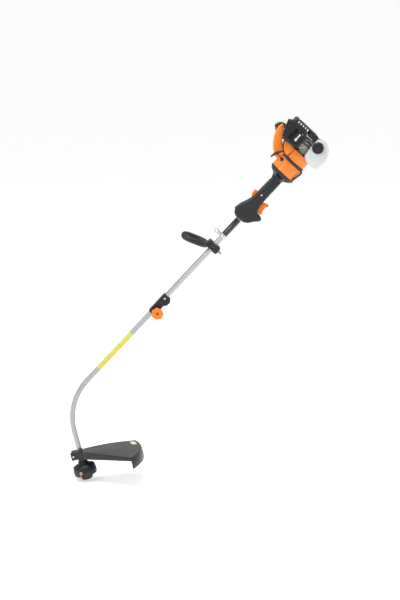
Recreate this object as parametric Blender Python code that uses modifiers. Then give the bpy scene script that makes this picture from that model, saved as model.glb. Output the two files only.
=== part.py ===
"""String trimmer with a curved split shaft, a two-cycle engine and a tap-feed line head.

Sizes are in millimetres and the helpers turn them into metres. The tool frame has X along the
shaft towards the engine, Y across the tool (the operator's left is -Y) and Z up, away from the
tank. The origin of the world is the centre of the harness eyelet.
"""

import math

import bpy
import bmesh
from mathutils import Vector

MM = 0.001
GAP = 0.3

# Driving dimensions
SHAFT_TILT = 47.25
TUBE_RADIUS = 11.0
TUBE_BORE = 9.5
EYELET_UP = 34.3

BEND_START = -824.0
BEND_RADIUS = 237.0
BEND_ANGLE = 57.0
HEAD_RISE = 7.0
HEAD_TUBE_END = 118.0
LINE_TURN = -16.5
LINE_ROUTE = [(0, -51, -178), (0, -54, -178), (0, -58, -179), (0.5, -61, -182),
              (1.5, -62.5, -187), (3, -62.5, -193), (5, -61.5, -200), (7, -60, -207)]
LOWER_TUBE_TOP = -367.0
UPPER_TUBE_BOTTOM = -362.0
UPPER_TUBE_TOP = 322.0

KNOB_PLACE = (-413.0, -18.5)
BUTTON_PLACE = -391.0

LOOP_PLACE = -58.0
LOOP_LEAN = 21.0
TRIGGER_PIVOT = (174.0, -20.0)
LEVER_PIVOT = (227.0, 18.0)


GUARD_REACH = 250.0
GUARD_HALF_ANGLE = 32.0
GUARD_FAR_ANGLE = 27.0

BELL_FRONT = 318.0
BELL_BACK = 357.0
STARTER_BACK = 409.0
FAN_BACK = 462.0
ENGINE_RADIUS = 55.5
CYLINDER_PLACE = 499.0
CRANK_THROW = 14.0

CAP_PLACE = (528.0, -27.0)
CAP_RADIUS = 23.5

PULL_HOLE = (396.0, -35.5, 44.0)
PULL_TURN = (33.9, 9.4, 0.0)
PULL_STANDOFF = 44.0
GRIP_HALF = 26.0
CHOKE_PIVOT = (494.0, 64.0)
CABLE_ROUTE = [(362, -40, -45), (374, -39, -47), (388, -38, -50), (401, -37.5, -52),
               (410.5, -40, -49), (414.5, -47, -36), (414.7, -54, -16), (414.7, -56.5, 6),
               (415.5, -56, 28), (420, -54, 50), (430, -52, 68), (444, -51, 82), (460, -50, 88),
               (477, -49, 78)]

ALONG_SHAFT = (0.0, 90.0, 0.0)
TO_LEFT = (90.0, 0.0, 0.0)
UPRIGHT = (0.0, 0.0, 0.0)


# Helpers

def scaled(point):
    return tuple(value * MM for value in point)


def clear_scene():
    for old in list(bpy.data.objects):
        bpy.data.objects.remove(old, do_unlink=True)


def new_collection(name):
    collection = bpy.data.collections.new(name)
    bpy.context.scene.collection.children.link(collection)
    return collection


def make_material(name, colour, roughness, metallic=0.0):
    material = bpy.data.materials.new(name)
    material.use_nodes = True
    shader = material.node_tree.nodes["Principled BSDF"]
    shader.inputs["Base Color"].default_value = (*colour, 1.0)
    shader.inputs["Roughness"].default_value = roughness
    shader.inputs["Metallic"].default_value = metallic
    material.diffuse_color = (*colour, 1.0)
    return material


def empty(name, parent, location, turn=UPRIGHT):
    frame = bpy.data.objects.new(name, None)
    frame.parent = parent
    frame.location = scaled(location)
    frame.rotation_euler = [math.radians(angle) for angle in turn]
    PARTS.objects.link(frame)
    return frame


def placed(name, data, parent, location, turn, material):
    """A new object of the part, at a place in its parent's frame, in millimetres and degrees."""
    obj = bpy.data.objects.new(name, data)
    obj.parent = parent
    obj.location = scaled(location)
    obj.rotation_euler = [math.radians(angle) for angle in turn]
    if material is None:
        CUTTERS.objects.link(obj)
        obj.hide_render = True
        obj.display_type = "WIRE"
    else:
        PARTS.objects.link(obj)
        obj.data.materials.append(material)
    return obj


def round_edges(obj, width, segments=1, angle=35.0):
    bevel = obj.modifiers.new("rounded_edges", "BEVEL")
    bevel.width = width * MM
    bevel.segments = segments
    bevel.limit_method = "ANGLE"
    bevel.angle_limit = math.radians(angle)
    return obj


def block(name, size, parent, location, material, turn=UPRIGHT, edge=0.0, segments=1):
    form = bmesh.new()
    bmesh.ops.create_cube(form, size=1.0)
    bmesh.ops.scale(form, vec=scaled(size), verts=form.verts)
    mesh = bpy.data.meshes.new(name)
    form.to_mesh(mesh)
    form.free()
    obj = placed(name, mesh, parent, location, turn, material)
    if edge:
        round_edges(obj, edge, segments)
    return obj


def turned(name, profile, parent, location, turn, material, sides=20, ring=False):
    """A profile of (radius, height) points that runs down its outer side, spun round local Z."""
    mesh = bpy.data.meshes.new(name)
    points = [(radius * MM, 0.0, height * MM) for radius, height in profile]
    edges = [(i, i + 1) for i in range(len(points) - 1)]
    if ring:
        edges.append((len(points) - 1, 0))
    mesh.from_pydata(points, edges, [])
    obj = placed(name, mesh, parent, location, turn, material)
    screw = obj.modifiers.new("turned", "SCREW")
    screw.steps = sides
    screw.render_steps = sides
    screw.use_merge_vertices = True
    screw.merge_threshold = 0.00001
    screw.use_smooth_shade = material is not None
    return obj


def rod(name, radius, bottom, top, parent, location, turn, material, sides=16):
    """A solid round bar between two heights on its own axis."""
    profile = [(0, top), (radius, top), (radius, bottom), (0, bottom)]
    return turned(name, profile, parent, location, turn, material, sides)


def tube(name, outer, inner, bottom, top, parent, location, turn, material, sides=16):
    """A hollow round bar between two heights on its own axis."""
    profile = [(outer, top), (outer, bottom), (inner, bottom), (inner, top)]
    return turned(name, profile, parent, location, turn, material, sides, ring=True)


def as_mesh(curve_object):
    """The curve's shape as a mesh object in the same place, its caps joined to its sides."""
    graph = bpy.context.evaluated_depsgraph_get()
    mesh = bpy.data.meshes.new_from_object(curve_object.evaluated_get(graph))
    form = bmesh.new()
    form.from_mesh(mesh)
    bmesh.ops.remove_doubles(form, verts=form.verts, dist=0.00001)
    bmesh.ops.recalc_face_normals(form, faces=form.faces)
    form.to_mesh(mesh)
    form.free()
    obj = bpy.data.objects.new(curve_object.name, mesh)
    obj.parent = curve_object.parent
    obj.location = curve_object.location
    obj.rotation_euler = curve_object.rotation_euler
    obj.hide_render = curve_object.hide_render
    obj.display_type = curve_object.display_type
    for collection in curve_object.users_collection:
        collection.objects.link(obj)
    name = curve_object.name
    bpy.data.objects.remove(curve_object, do_unlink=True)
    obj.name = name
    return obj


def flat_outline(name, outlines, thickness):
    curve = bpy.data.curves.new(name, "CURVE")
    curve.dimensions = "2D"
    curve.fill_mode = "BOTH"
    curve.extrude = thickness * MM / 2
    for outline in outlines:
        spline = curve.splines.new("POLY")
        spline.points.add(len(outline) - 1)
        for point, (across, up) in zip(spline.points, outline):
            point.co = (across * MM, up * MM, 0.0, 1.0)
        spline.use_cyclic_u = True
    return curve


def plate(name, outlines, thickness, parent, location, turn, material, edge=0.0, segments=1):
    """A flat outline, with any holes, made thick about its own plane."""
    curve = flat_outline(name, outlines, thickness)
    obj = as_mesh(placed(name, curve, parent, location, turn, material))
    if edge:
        round_edges(obj, edge, segments)
    return obj


def side_plate(name, outline, left, right, parent, material, edge=0.0, segments=1, pivot=(0, 0)):
    """An outline seen from the tool's left, of (along, up) points, between two lateral places."""
    points = [(along - pivot[0], up - pivot[1]) for along, up in outline]
    place = (pivot[0], (left + right) / 2, pivot[1])
    return plate(name, [points], right - left, parent, place, TO_LEFT, material, edge, segments)


def bar(name, points, radius, parent, material, sides=8, location=(0, 0, 0), closed=False):
    """A round bar along points in the parent's frame, taken from location."""
    curve = bpy.data.curves.new(name, "CURVE")
    curve.dimensions = "3D"
    curve.bevel_depth = radius * MM
    curve.bevel_resolution = (sides - 4) // 2
    curve.use_fill_caps = not closed
    spline = curve.splines.new("POLY")
    spline.points.add(len(points) - 1)
    for point, place in zip(spline.points, points):
        offset = [a - b for a, b in zip(place, location)]
        point.co = (*scaled(offset), 1.0)
    spline.use_cyclic_u = closed
    return as_mesh(placed(name, curve, parent, location, UPRIGHT, material))


def combine(obj, other, operation):
    boolean = obj.modifiers.new(operation.lower(), "BOOLEAN")
    boolean.operation = operation
    boolean.object = other
    return obj


def cut(obj, *cutters):
    for cutter in cutters:
        combine(obj, cutter, "DIFFERENCE")
    return obj


def join(obj, *others):
    for other in others:
        combine(obj, other, "UNION")
    return obj


def smooth_path(points, steps):
    """Points of a smooth curve through the given ones."""
    ends = [points[0]] + list(points) + [points[-1]]
    path = []
    for a, b, c, d in zip(ends, ends[1:], ends[2:], ends[3:]):
        a, b, c, d = Vector(a), Vector(b), Vector(c), Vector(d)
        for step in range(steps):
            t = step / steps
            path.append(0.5 * (2 * b + (c - a) * t + (2 * a - 5 * b + 4 * c - d) * t ** 2
                               + (3 * b - a - 3 * c + d) * t ** 3))
    path.append(Vector(points[-1]))
    return path


def arc_points(radius, first, last, steps):
    """Points on an arc about the origin, angles in degrees."""
    angles = [math.radians(first + (last - first) * i / steps) for i in range(steps + 1)]
    return [(radius * math.cos(angle), radius * math.sin(angle)) for angle in angles]


def lobed(count, outer, inner, steps):
    """A round outline with lobes, as on a hand knob."""
    points = []
    for i in range(count * steps):
        angle = 2 * math.pi * i / (count * steps)
        radius = (outer + inner) / 2 + (outer - inner) / 2 * math.cos(count * angle)
        points.append((radius * math.cos(angle), radius * math.sin(angle)))
    return points


# Shaft

def head_place():
    """The head frame's origin: on the lower tube's axis, just above the end of its bend."""
    angle = math.radians(BEND_ANGLE)
    along = BEND_START - BEND_RADIUS * math.sin(angle) + HEAD_RISE * math.cos(angle)
    return (along, 0.0, -BEND_RADIUS * (1.0 - math.cos(angle)) + HEAD_RISE * math.sin(angle))


def shaft_path(top, past_bend, steps=12):
    """The lower tube's centre line, from a place on the straight to a distance past the bend."""
    points = [(top, 0.0, 0.0)]
    for i in range(steps + 1):
        angle = math.radians(BEND_ANGLE * i / steps)
        points.append((BEND_START - BEND_RADIUS * math.sin(angle), 0.0,
                       -BEND_RADIUS * (1.0 - math.cos(angle))))
    angle = math.radians(BEND_ANGLE)
    last = points[-1]
    points.append((last[0] - past_bend * math.cos(angle), 0.0, last[2] - past_bend * math.sin(angle)))
    return points


def build_lower_shaft(tool):
    lower = bar("lower_tube", shaft_path(LOWER_TUBE_TOP, HEAD_TUBE_END - HEAD_RISE), TUBE_RADIUS, tool,
                LOOKS["painted_tube"], sides=14)
    bore = bar("lower_tube_bore", shaft_path(LOWER_TUBE_TOP + 20, HEAD_TUBE_END + 20), TUBE_BORE,
               tool, None, sides=10)
    button_hole = rod("button_hole", 5.0, 0, 30, tool, (BUTTON_PLACE, 0, 0), UPRIGHT, None, 12)
    cut(lower, bore, button_hole)
    bar("drive_cable", shaft_path(-372.5, HEAD_TUBE_END - HEAD_RISE - 0.5), 3.2, tool, LOOKS["steel"])


def build_coupler(tool):
    outline = [(-432, 12), (-428, 14), (-339, 14.5), (-335, 11), (-337, -22), (-350, -28),
               (-366, -27), (-376, -18), (-396, -18), (-404, -27), (-424, -27), (-432, -18)]
    body = side_plate("coupler_body", outline, -17, 17, tool, LOOKS["black_plastic"], 3.5)
    bore = rod("coupler_bore", TUBE_RADIUS + GAP, -440, -325, tool, (0, 0, 0), ALONG_SHAFT, None)
    bolt_hole = rod("bolt_hole", 3.4, -30, 30, tool, (KNOB_PLACE[0], 0, KNOB_PLACE[1]), TO_LEFT,
                    None, 12)
    button_hole = rod("coupler_button_hole", 5.0, 0, 30, tool, (BUTTON_PLACE, 0, 0), UPRIGHT,
                      None, 12)
    cut(body, bore, bolt_hole, button_hole)

    place = (KNOB_PLACE[0], -18.5, KNOB_PLACE[1])
    knob = plate("star_knob", [lobed(7, 25, 19.5, 6)], 12, tool,
                 (KNOB_PLACE[0], -30, KNOB_PLACE[1]), TO_LEFT, LOOKS["orange_plastic"], 2.0)
    hub = rod("knob_hub", 10, 0, 8, tool, place, TO_LEFT, None)
    bolt = rod("knob_bolt", 3.0, -34, 6, tool, place, TO_LEFT, None, 12)
    join(knob, hub, bolt)
    rod("release_button", 4.5, 8.0, 16.5, tool, (BUTTON_PLACE, 0, 0), UPRIGHT, LOOKS["steel"], 12)


def build_upper_shaft(tool):
    tube("upper_tube", TUBE_RADIUS, TUBE_BORE, UPPER_TUBE_BOTTOM, UPPER_TUBE_TOP, tool,
         (0, 0, 0), ALONG_SHAFT, LOOKS["bright_tube"], 20)
    socket = [(0, 346), (4, 346), (4, -364), (6.2, -364), (6.2, -382), (3.6, -382), (3.6, -371),
              (0, -371)]
    turned("drive_shaft", socket, tool, (0, 0, 0), ALONG_SHAFT, LOOKS["steel"], 10)
    tube("rubber_sleeve", 12.9, TUBE_RADIUS + GAP, 10, 95, tool, (0, 0, 0), ALONG_SHAFT,
         LOOKS["rubber"], 18)

    bracket = tube("harness_bracket", 14.2, TUBE_RADIUS + GAP, -5, 9, tool, (0, 0, 0),
                   ALONG_SHAFT, LOOKS["steel"], 20)
    lug = plate("bracket_lug", [[(-6, 12.5), (6, 12.5)] + [(x, EYELET_UP + z) for x, z
                in arc_points(9.5, -10, 190, 8)]], 4, tool, (0, 0, 0), TO_LEFT, None)
    eyelet = rod("eyelet_hole", 5.5, -10, 10, tool, (0, 0, EYELET_UP), TO_LEFT, None, 14)
    join(bracket, lug)
    cut(bracket, eyelet)


# Loop handle

def rounded_loop(half_width, low, high, corner, steps):
    """A closed loop in the plane across the shaft: straight sides with round corners."""
    points = []
    centres = [(half_width - corner, high - corner, 0), (corner - half_width, high - corner, 90),
               (corner - half_width, low + corner, 180), (half_width - corner, low + corner, 270)]
    for across, up, first in centres:
        for y, z in arc_points(corner, first, first + 90, steps):
            points.append((0.0, across + y, up + z))
    return points


def build_loop_handle(tool):
    lean = empty("loop_lean", tool, (LOOP_PLACE, 0, 0), (0, -LOOP_LEAN, 0))
    loop = bar("loop_handle", rounded_loop(48, 31, 126, 36, 5), 12, lean, LOOKS["grip"],
               sides=12, closed=True)
    saddle = block("loop_saddle", (30, 54, 22), tool, (LOOP_PLACE, 0, 19), None, edge=5)
    shaft_hole = rod("loop_shaft_hole", TUBE_RADIUS + GAP, -140, 20, tool, (0, 0, 0),
                     ALONG_SHAFT, None)
    cap = block("loop_clamp_cap", (30, 54, 20), tool, (LOOP_PLACE, 0, -17.5),
                LOOKS["black_plastic"], edge=5)
    join(loop, saddle)
    for side, across in (("left", -20), ("right", 20)):
        profile = [(0, 28), (2.8, 28), (2.8, -28.3), (6.5, -28.3), (6.5, -41), (0, -41)]
        place = (LOOP_PLACE, across, 0)
        if side == "left":
            turned("loop_bolt", profile, tool, place, UPRIGHT, LOOKS["steel"], 12)
        hole = rod("loop_bolt_hole_" + side, 3.1, -40, 29, tool, place, UPRIGHT, None, 12)
        cut(loop, hole)
        cut(cap, hole)
    cut(loop, shaft_hole)
    cut(cap, shaft_hole)


# Rear handle

def build_rear_handle(tool):
    outline = [(97, 16), (103, 33), (118, 41), (134, 42.5), (150, 39.5), (171, 31), (190, 25),
               (208, 21), (250, 20), (300, 18.5), (317.5, 19), (317.5, -24), (299, -23),
               (260, -23), (217, -24.5), (190, -26), (167, -34), (164.5, -52), (161, -64),
               (153, -69), (145, -65.5), (131, -51), (109, -36), (99, -19)]
    bore = rod("handle_bore", TUBE_RADIUS + GAP, 90, 330, tool, (0, 0, 0), ALONG_SHAFT, None, 20)
    trigger_room = side_plate("trigger_room", [(166, -12.6), (229, -12.6), (229, -80), (166, -80)],
                              -6.3, 6.3, tool, None)
    lever_room = side_plate("lever_room", [(197, 12.6), (237, 12.6), (237, 45), (197, 45)],
                            -5, 5, tool, None)
    switch_room = block("switch_room", (26, 10, 12), tool, (130, 0, 41), None)
    screw_hole = rod("handle_screw_hole", 2.3, 12.5, 40, tool, (232, 0, 2), TO_LEFT, None, 10)
    for side, away in (("left", 1), ("right", -1)):
        shell = side_plate("handle_shell_" + side, outline, -21, 21, tool, LOOKS["grip"], 7)
        other_half = block("beyond_" + side, (300, 60, 200), tool, (210, away * 29.8, 0), None)
        cut(shell, other_half, bore, trigger_room, lever_room, switch_room)
        if side == "left":
            cut(shell, screw_hole)
    turned("handle_screw", [(0, 23.4), (3, 23.4), (4.2, 22), (4.2, 21.3), (2, 21.3), (2, 13),
                            (0, 13)], tool, (232, 0, 2), TO_LEFT, LOOKS["steel"], 12)

    side_plate("throttle_trigger", [(170, -16), (182, -15.5), (206, -21), (214, -28), (221, -50),
                                    (215, -53), (203, -47), (186, -48.5), (170, -55), (168.5, -44),
                                    (168, -30)], -5.5, 5.5, tool, LOOKS["orange_plastic"], 1.5,
               pivot=TRIGGER_PIVOT)
    side_plate("lock_out_lever", [(201, 26), (208, 33), (228, 36.5), (233, 28), (231, 14.5),
                                  (223, 14), (208, 20)], -4, 4, tool, LOOKS["orange_plastic"],
               1.0, pivot=LEVER_PIVOT)
    block("stop_switch", (15, 8.6, 8), tool, (125, 0, 41), LOOKS["black_plastic"], edge=1)


# Cutting head, in a frame whose Z runs up the lower tube's end

def build_head(head):
    tube_fit = TUBE_RADIUS + GAP
    turned("bearing_housing", [(17, -106), (17.5, -135.5), (6.3, -135.5), (6.3, -118.4),
                               (tube_fit, -118.4), (tube_fit, -106)], head, (0, 0, 0), UPRIGHT,
           LOOKS["black_plastic"], 18, ring=True)
    rod("output_spindle", 5, -190, -119, head, (0, 0, 0), UPRIGHT, LOOKS["steel"], 12)

    shell = [(20, -138), (23, -147), (41, -153), (48, -161), (50, -186), (46, -196), (42, -196),
             (45.5, -185), (44, -164), (38, -157), (20, -151), (5.3, -151), (5.3, -138)]
    housing = turned("head_housing", shell, head, (0, 0, 0), UPRIGHT, LOOKS["black_plastic"],
                     24, ring=True)
    eyelets = rod("line_exits", 3.0, -60, 60, head, (0, 0, -178), (90, 0, LINE_TURN), None, 10)
    cut(housing, eyelets)

    turned("spool", [(40, -166), (40, -168.5), (20, -168.5), (20, -191.5), (40, -191.5),
                     (40, -194), (5.5, -194), (5.5, -181), (14, -181), (14, -166)], head,
           (0, 0, 0), UPRIGHT, LOOKS["black_plastic"], 20, ring=True)
    tube("wound_line", 36, 20.3, -191.2, -168.8, head, (0, 0, 0), UPRIGHT, LOOKS["line"], 20)
    turns = 4
    steps = turns * 10
    coil = []
    for i in range(steps + 1):
        angle = 2 * math.pi * i / 10
        rise = -179.3 + 26.4 * i / steps
        coil.append((9 * math.cos(angle), 9 * math.sin(angle), rise))
    bar("tap_spring", coil, 1.0, head, LOOKS["steel"], sides=6)
    turned("tap_knob", [(0, -198), (8, -198), (8, -194.4), (30, -194.4), (30, -198), (25, -200),
                        (24, -212), (20, -216), (0, -216)], head, (0, 0, 0), UPRIGHT,
           LOOKS["black_plastic"], 24)
    for name, turn in (("cutting_line_left", LINE_TURN), ("cutting_line_right", LINE_TURN + 180)):
        exit_frame = empty(name + "_exit", head, (0, 0, 0), (0, 0, turn))
        bar(name, smooth_path(LINE_ROUTE, 2), 1.2, exit_frame, LOOKS["line"], sides=8)


def guard_top(along, across):
    """A point of the guard's upper skin: along runs 0 to 1 from the clamp, across -1 to 1."""
    widest = GUARD_HALF_ANGLE if across < 0 else GUARD_FAR_ANGLE
    angle = math.radians(widest * across)
    near = (14.0, 26.0 * across)
    far = (GUARD_REACH * math.cos(angle), GUARD_REACH * math.sin(angle))
    x = near[0] + (far[0] - near[0]) * along
    y = near[1] + (far[1] - near[1]) * along
    sag = 3.0 * along * across * across if across < 0 else 0.0
    return (x, y, -(94.0 + 0.2 * x) - sag)


def build_guard(head):
    rows, columns = 6, 10
    form = bmesh.new()
    grid = []
    for i in range(rows + 1):
        line = [guard_top(i / rows, 2 * j / columns - 1) for j in range(columns + 1)]
        wall = -(126.0 + 0.125 * line[0][0])
        line.insert(0, (line[0][0], line[0][1], wall))
        line.append((line[-1][0], line[-1][1], wall))
        grid.append(line)
    skirt = [(x, y, -186.0) for x, y, _ in grid[-1]]
    grid.append(skirt)
    verts = [[form.verts.new(scaled(point)) for point in line] for line in grid]
    for i in range(len(verts) - 1):
        for j in range(len(verts[i]) - 1):
            corners = [verts[i][j], verts[i + 1][j], verts[i + 1][j + 1], verts[i][j + 1]]
            form.faces.new(corners)
    bmesh.ops.remove_doubles(form, verts=form.verts, dist=0.00001)
    bmesh.ops.recalc_face_normals(form, faces=form.faces)
    mesh = bpy.data.meshes.new("guard")
    form.to_mesh(mesh)
    form.free()
    guard = placed("guard", mesh, head, (0, 0, 0), UPRIGHT, LOOKS["black_plastic"])
    wall = guard.modifiers.new("wall", "SOLIDIFY")
    wall.thickness = 2.5 * MM
    wall.offset = -1.0

    clamp = block("guard_clamp", (53, 46, 36), head, (-14, 0, -108), LOOKS["black_plastic"],
                  edge=3)
    bore = rod("clamp_bore", TUBE_RADIUS + GAP, -140, -60, head, (0, 0, 0), UPRIGHT, None, 18)
    bolt_place = (5, -17, 0)
    bolt_hole = rod("clamp_bolt_hole", 2.8, -104, -80, head, bolt_place, UPRIGHT, None, 10)
    collar_room = rod("bearing_housing_room", 18, -140, -105.5, head, (0, 0, 0), UPRIGHT, None, 18)
    cut(clamp, bore, bolt_hole, collar_room)
    turned("guard_bolt", [(0, -80), (5.5, -80), (5.5, -89.6), (2.5, -89.6), (2.5, -103),
                          (0, -103)], head, bolt_place, UPRIGHT, LOOKS["steel"], 12)
    turn = math.radians(-27)
    reach = GUARD_REACH - 5.5
    block("line_cutter_blade", (1.6, 30, 26), head,
          (reach * math.cos(turn), reach * math.sin(turn), -172), LOOKS["steel"],
          turn=(0, 0, -27))


# Engine

def build_clutch(tool):
    bell = [(ENGINE_RADIUS, BELL_BACK), (ENGINE_RADIUS, 350), (45, 340), (30, 330),
            (24, BELL_FRONT), (11.5, BELL_FRONT), (11.5, 326), (24, 330), (41, 341), (52, 351),
            (52, BELL_BACK)]
    turned("clutch_housing", bell, tool, (0, 0, 0), ALONG_SHAFT, LOOKS["black_plastic"], 28,
           ring=True)
    turned("clutch_drum", [(37, 356), (37, 343), (4.3, 343), (4.3, 346), (34, 346), (34, 356)],
           tool, (0, 0, 0), ALONG_SHAFT, LOOKS["steel"], 20, ring=True)
    for name, side in (("clutch_shoe_upper", 1), ("clutch_shoe_lower", -1)):
        outer = arc_points(31, 15, 165, 8)
        inner = arc_points(10, 165, 15, 5)
        outline = [(x, side * y) for x, y in outer + inner]
        plate(name, [outline], 7, tool, (351, 0, 0), (90, 0, 90), LOOKS["steel"])


def build_starter(tool):
    housing = turned("starter_housing",
                     [(ENGINE_RADIUS, STARTER_BACK), (ENGINE_RADIUS, BELL_BACK + GAP),
                      (52, BELL_BACK + GAP), (52, 405.5), (10, 405.5), (10, STARTER_BACK)],
                     tool, (0, 0, 0), ALONG_SHAFT, LOOKS["orange_plastic"], 28, ring=True)
    scoop = side_plate("shroud_scoop", [(386, 40), (386, 74), (406, 102), (428, 121), (450, 138),
                                        (466, 149), (484, 152), (484, 40)], -33, 33, tool, None,
                       5)
    scoop_room = side_plate("scoop_room", [(389, 20), (389, 72), (409, 99), (431, 118),
                                           (453, 135), (468, 145.5), (500, 149), (500, 20)],
                            -30.5, 30.5, tool, None)
    ring_room = rod("ring_room", ENGINE_RADIUS + GAP, STARTER_BACK + 0.1, 520, tool, (0, 0, 4),
                    ALONG_SHAFT, None, 28)
    starter_room = rod("starter_room", 52, 350, 405.5, tool, (0, 0, 0), ALONG_SHAFT, None, 28)
    cut(scoop, scoop_room, ring_room, starter_room)
    join(housing, scoop)
    pull = empty("pull_frame", tool, PULL_HOLE, PULL_TURN)
    rope_hole = rod("rope_hole", 4.0, -24, 6, pull, (0, 0, 0), UPRIGHT, None, 10)
    cut(housing, rope_hole)
    turned("flywheel", [(48, 378), (48, 368), (38, 361), (6.3, 361), (6.3, 378)], tool,
           (0, 0, 0), ALONG_SHAFT, LOOKS["cast_metal"], 24, ring=True)
    turned("starter_pulley", [(27, 398), (27, 396), (23, 396), (23, 391), (27, 391), (27, 388),
                              (8.3, 388), (8.3, 398)], tool, (0, 0, 0), ALONG_SHAFT,
           LOOKS["black_plastic"], 20, ring=True)

    rod("starter_rope", 1.7, 5, PULL_STANDOFF - 5.5, pull, (0, 0, 0), UPRIGHT, LOOKS["rope"], 8)
    droops = [(GRIP_HALF * i / 4, 0, PULL_STANDOFF - 0.3 * i * i) for i in range(-4, 5)]
    grip_frame = empty("grip_frame", pull, (0, 0, 0), (0, 0, -20))
    bar("starter_handle", droops, 5.0, grip_frame, LOOKS["black_plastic"], sides=10)


def build_fan_housing(tool):
    turned("fan_housing", [(ENGINE_RADIUS, FAN_BACK), (ENGINE_RADIUS, 420.5), (12, 420.5),
                           (12, 423.5), (52, 423.5), (52, FAN_BACK)], tool, (0, 0, 4), ALONG_SHAFT,
           LOOKS["orange_plastic"], 28, ring=True)


def build_engine_block(tool):
    case = turned("crankcase", [(31, 529), (31, 424.5), (6.6, 424.5), (6.6, 484), (24, 484),
                                (24, 514), (6.6, 514), (6.6, 529)], tool, (0, 0, 0),
                  ALONG_SHAFT, LOOKS["cast_metal"], 22, ring=True)
    deck = block("cylinder_deck", (52, 50, 22), tool, (CYLINDER_PLACE, 0, 21), None)
    crank_room = rod("crank_room", 24, 484, 514, tool, (0, 0, 0), ALONG_SHAFT, None, 22)
    rod_room = rod("rod_room", 17.3, 0, 50, tool, (CYLINDER_PLACE, 0, 0), UPRIGHT, None, 18)
    join(case, deck)
    cut(case, crank_room, rod_room)

    crank = rod("crankshaft", 6, 346.8, 488, tool, (0, 0, 0), ALONG_SHAFT, LOOKS["steel"], 14)
    front_web = rod("front_web", 22, 486.5, 493, tool, (0, 0, 0), ALONG_SHAFT, None, 18)
    rear_web = turned("rear_web", [(0, 526), (6, 526), (6, 511.5), (22, 511.5), (22, 505),
                                   (0, 505)], tool, (0, 0, 0), ALONG_SHAFT, None, 18)
    pin = rod("crank_pin", 4.5, 490, 508, tool, (0, 0, CRANK_THROW), ALONG_SHAFT, None, 12)
    join(crank, front_web, pin, rear_web)

    fins = []
    for level in range(6):
        height = 98 - 9 * level
        fins += [(33, height), (33, height - 2.4), (20, height - 2.4), (20, height - 9)]
    profile = [(14, 105), (20, 105), (20, 98)] + fins[:-1]
    profile += [(20, 33), (17, 33), (17, 97), (6.3, 97), (6.3, 105)]
    turned("cylinder", profile, tool, (CYLINDER_PLACE, 0, 0), UPRIGHT, LOOKS["cast_metal"], 20,
           ring=True)
    rod("piston", 16.6, 52, 78, tool, (CYLINDER_PLACE, 0, 0), UPRIGHT, LOOKS["steel"], 18)
    block("connecting_rod", (8, 12, 16), tool, (CYLINDER_PLACE, 0, 43.6), LOOKS["steel"])
    turned("spark_plug", [(0, 124), (4.5, 124), (4.5, 114), (9.5, 114), (9.5, 105.4),
                          (5.9, 105.4), (5.9, 98), (0, 98)], tool, (CYLINDER_PLACE, 0, 0),
           UPRIGHT, LOOKS["steel"], 12)
    turned("plug_boot", [(0, 149), (7, 149), (9, 145), (9, 116), (4.9, 116), (4.9, 124.5),
                         (0, 124.5)], tool, (CYLINDER_PLACE, 0, 0), UPRIGHT, LOOKS["rubber"],
           14)
    block("ignition_coil", (24, 22, 14), tool, (440, 0, 72), LOOKS["black_plastic"], edge=1.5)
    lead = smooth_path([(453.5, 0, 73), (457, 0, 76), (459, 0, 84), (460, 0, 100), (464, 0, 118),
                        (472, 0, 129), (481, 0, 134), (489.6, 0, 135)], 2)
    bar("ignition_lead", lead, 3.0, tool, LOOKS["rubber"], sides=8)


def cleaner_outline(inset=0.0):
    """The air cleaner's outline, drawn in from its edge by about the inset."""
    outline = [(465, 52), (474, 32), (526, 35), (549, 54), (546, 110), (536, 135), (503, 122),
               (467, 106)]
    centre = (507, 80)
    points = []
    for along, up in outline:
        reach = math.hypot(along - centre[0], up - centre[1])
        keep = (reach - inset * 1.25) / reach
        points.append((centre[0] + (along - centre[0]) * keep, centre[1] + (up - centre[1]) * keep))
    return points


def build_intake(tool):
    block("carburettor", (34, 22, 36), tool, (CYLINDER_PLACE, -46, 66), LOOKS["cast_metal"],
          edge=2)
    cover = side_plate("air_cleaner_cover", cleaner_outline(), -88, -60, tool,
                       LOOKS["black_plastic"], 4, 2)
    room = side_plate("cleaner_room", cleaner_outline(2.6), -85.4, -55, tool, None)
    cut(cover, room)
    for i in range(3):
        slot = block("cleaner_slot_%d" % i, (6, 10, 17), tool, (486 + 10 * i, -87, 90), None,
                     turn=(0, -14, 0))
        cut(cover, slot)
    side_plate("air_filter", cleaner_outline(7.0), -76, -58.5, tool, LOOKS["foam"])
    side_plate("choke_lever", [(490, 61), (495, 60), (522, 62), (524, 65), (522, 68), (495, 68),
                               (490, 67)], -91, -88.4, tool, LOOKS["bright_lever"], 0.6,
               pivot=CHOKE_PIVOT)


def build_exhaust(tool):
    block("muffler", (54, 30, 60), tool, (CYLINDER_PLACE, 59, 70), LOOKS["steel"], edge=4)
    guard = block("muffler_guard", (70, 44, 76), tool, (CYLINDER_PLACE, 66, 70),
                  LOOKS["black_plastic"], edge=3)
    room = block("muffler_room", (64, 44, 70), tool, (CYLINDER_PLACE, 62.5, 70), None)
    outlet = block("muffler_outlet", (30, 20, 12), tool, (CYLINDER_PLACE, 84, 84), None)
    cut(guard, room, outlet)


def build_rear_cover(tool):
    cover = block("rear_cover", (28, 88, 116), tool, (546, 0, 56), LOOKS["black_plastic"],
                  edge=9, segments=2)
    room = block("rear_room", (54, 82, 110), tool, (530, 0, 56), None, edge=6, segments=2)
    cut(cover, room)
    for i in range(6):
        slot = block("vent_%d" % i, (15, 120, 7), tool, (547, 0, 98 - 12 * i), None)
        cut(cover, slot)


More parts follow.
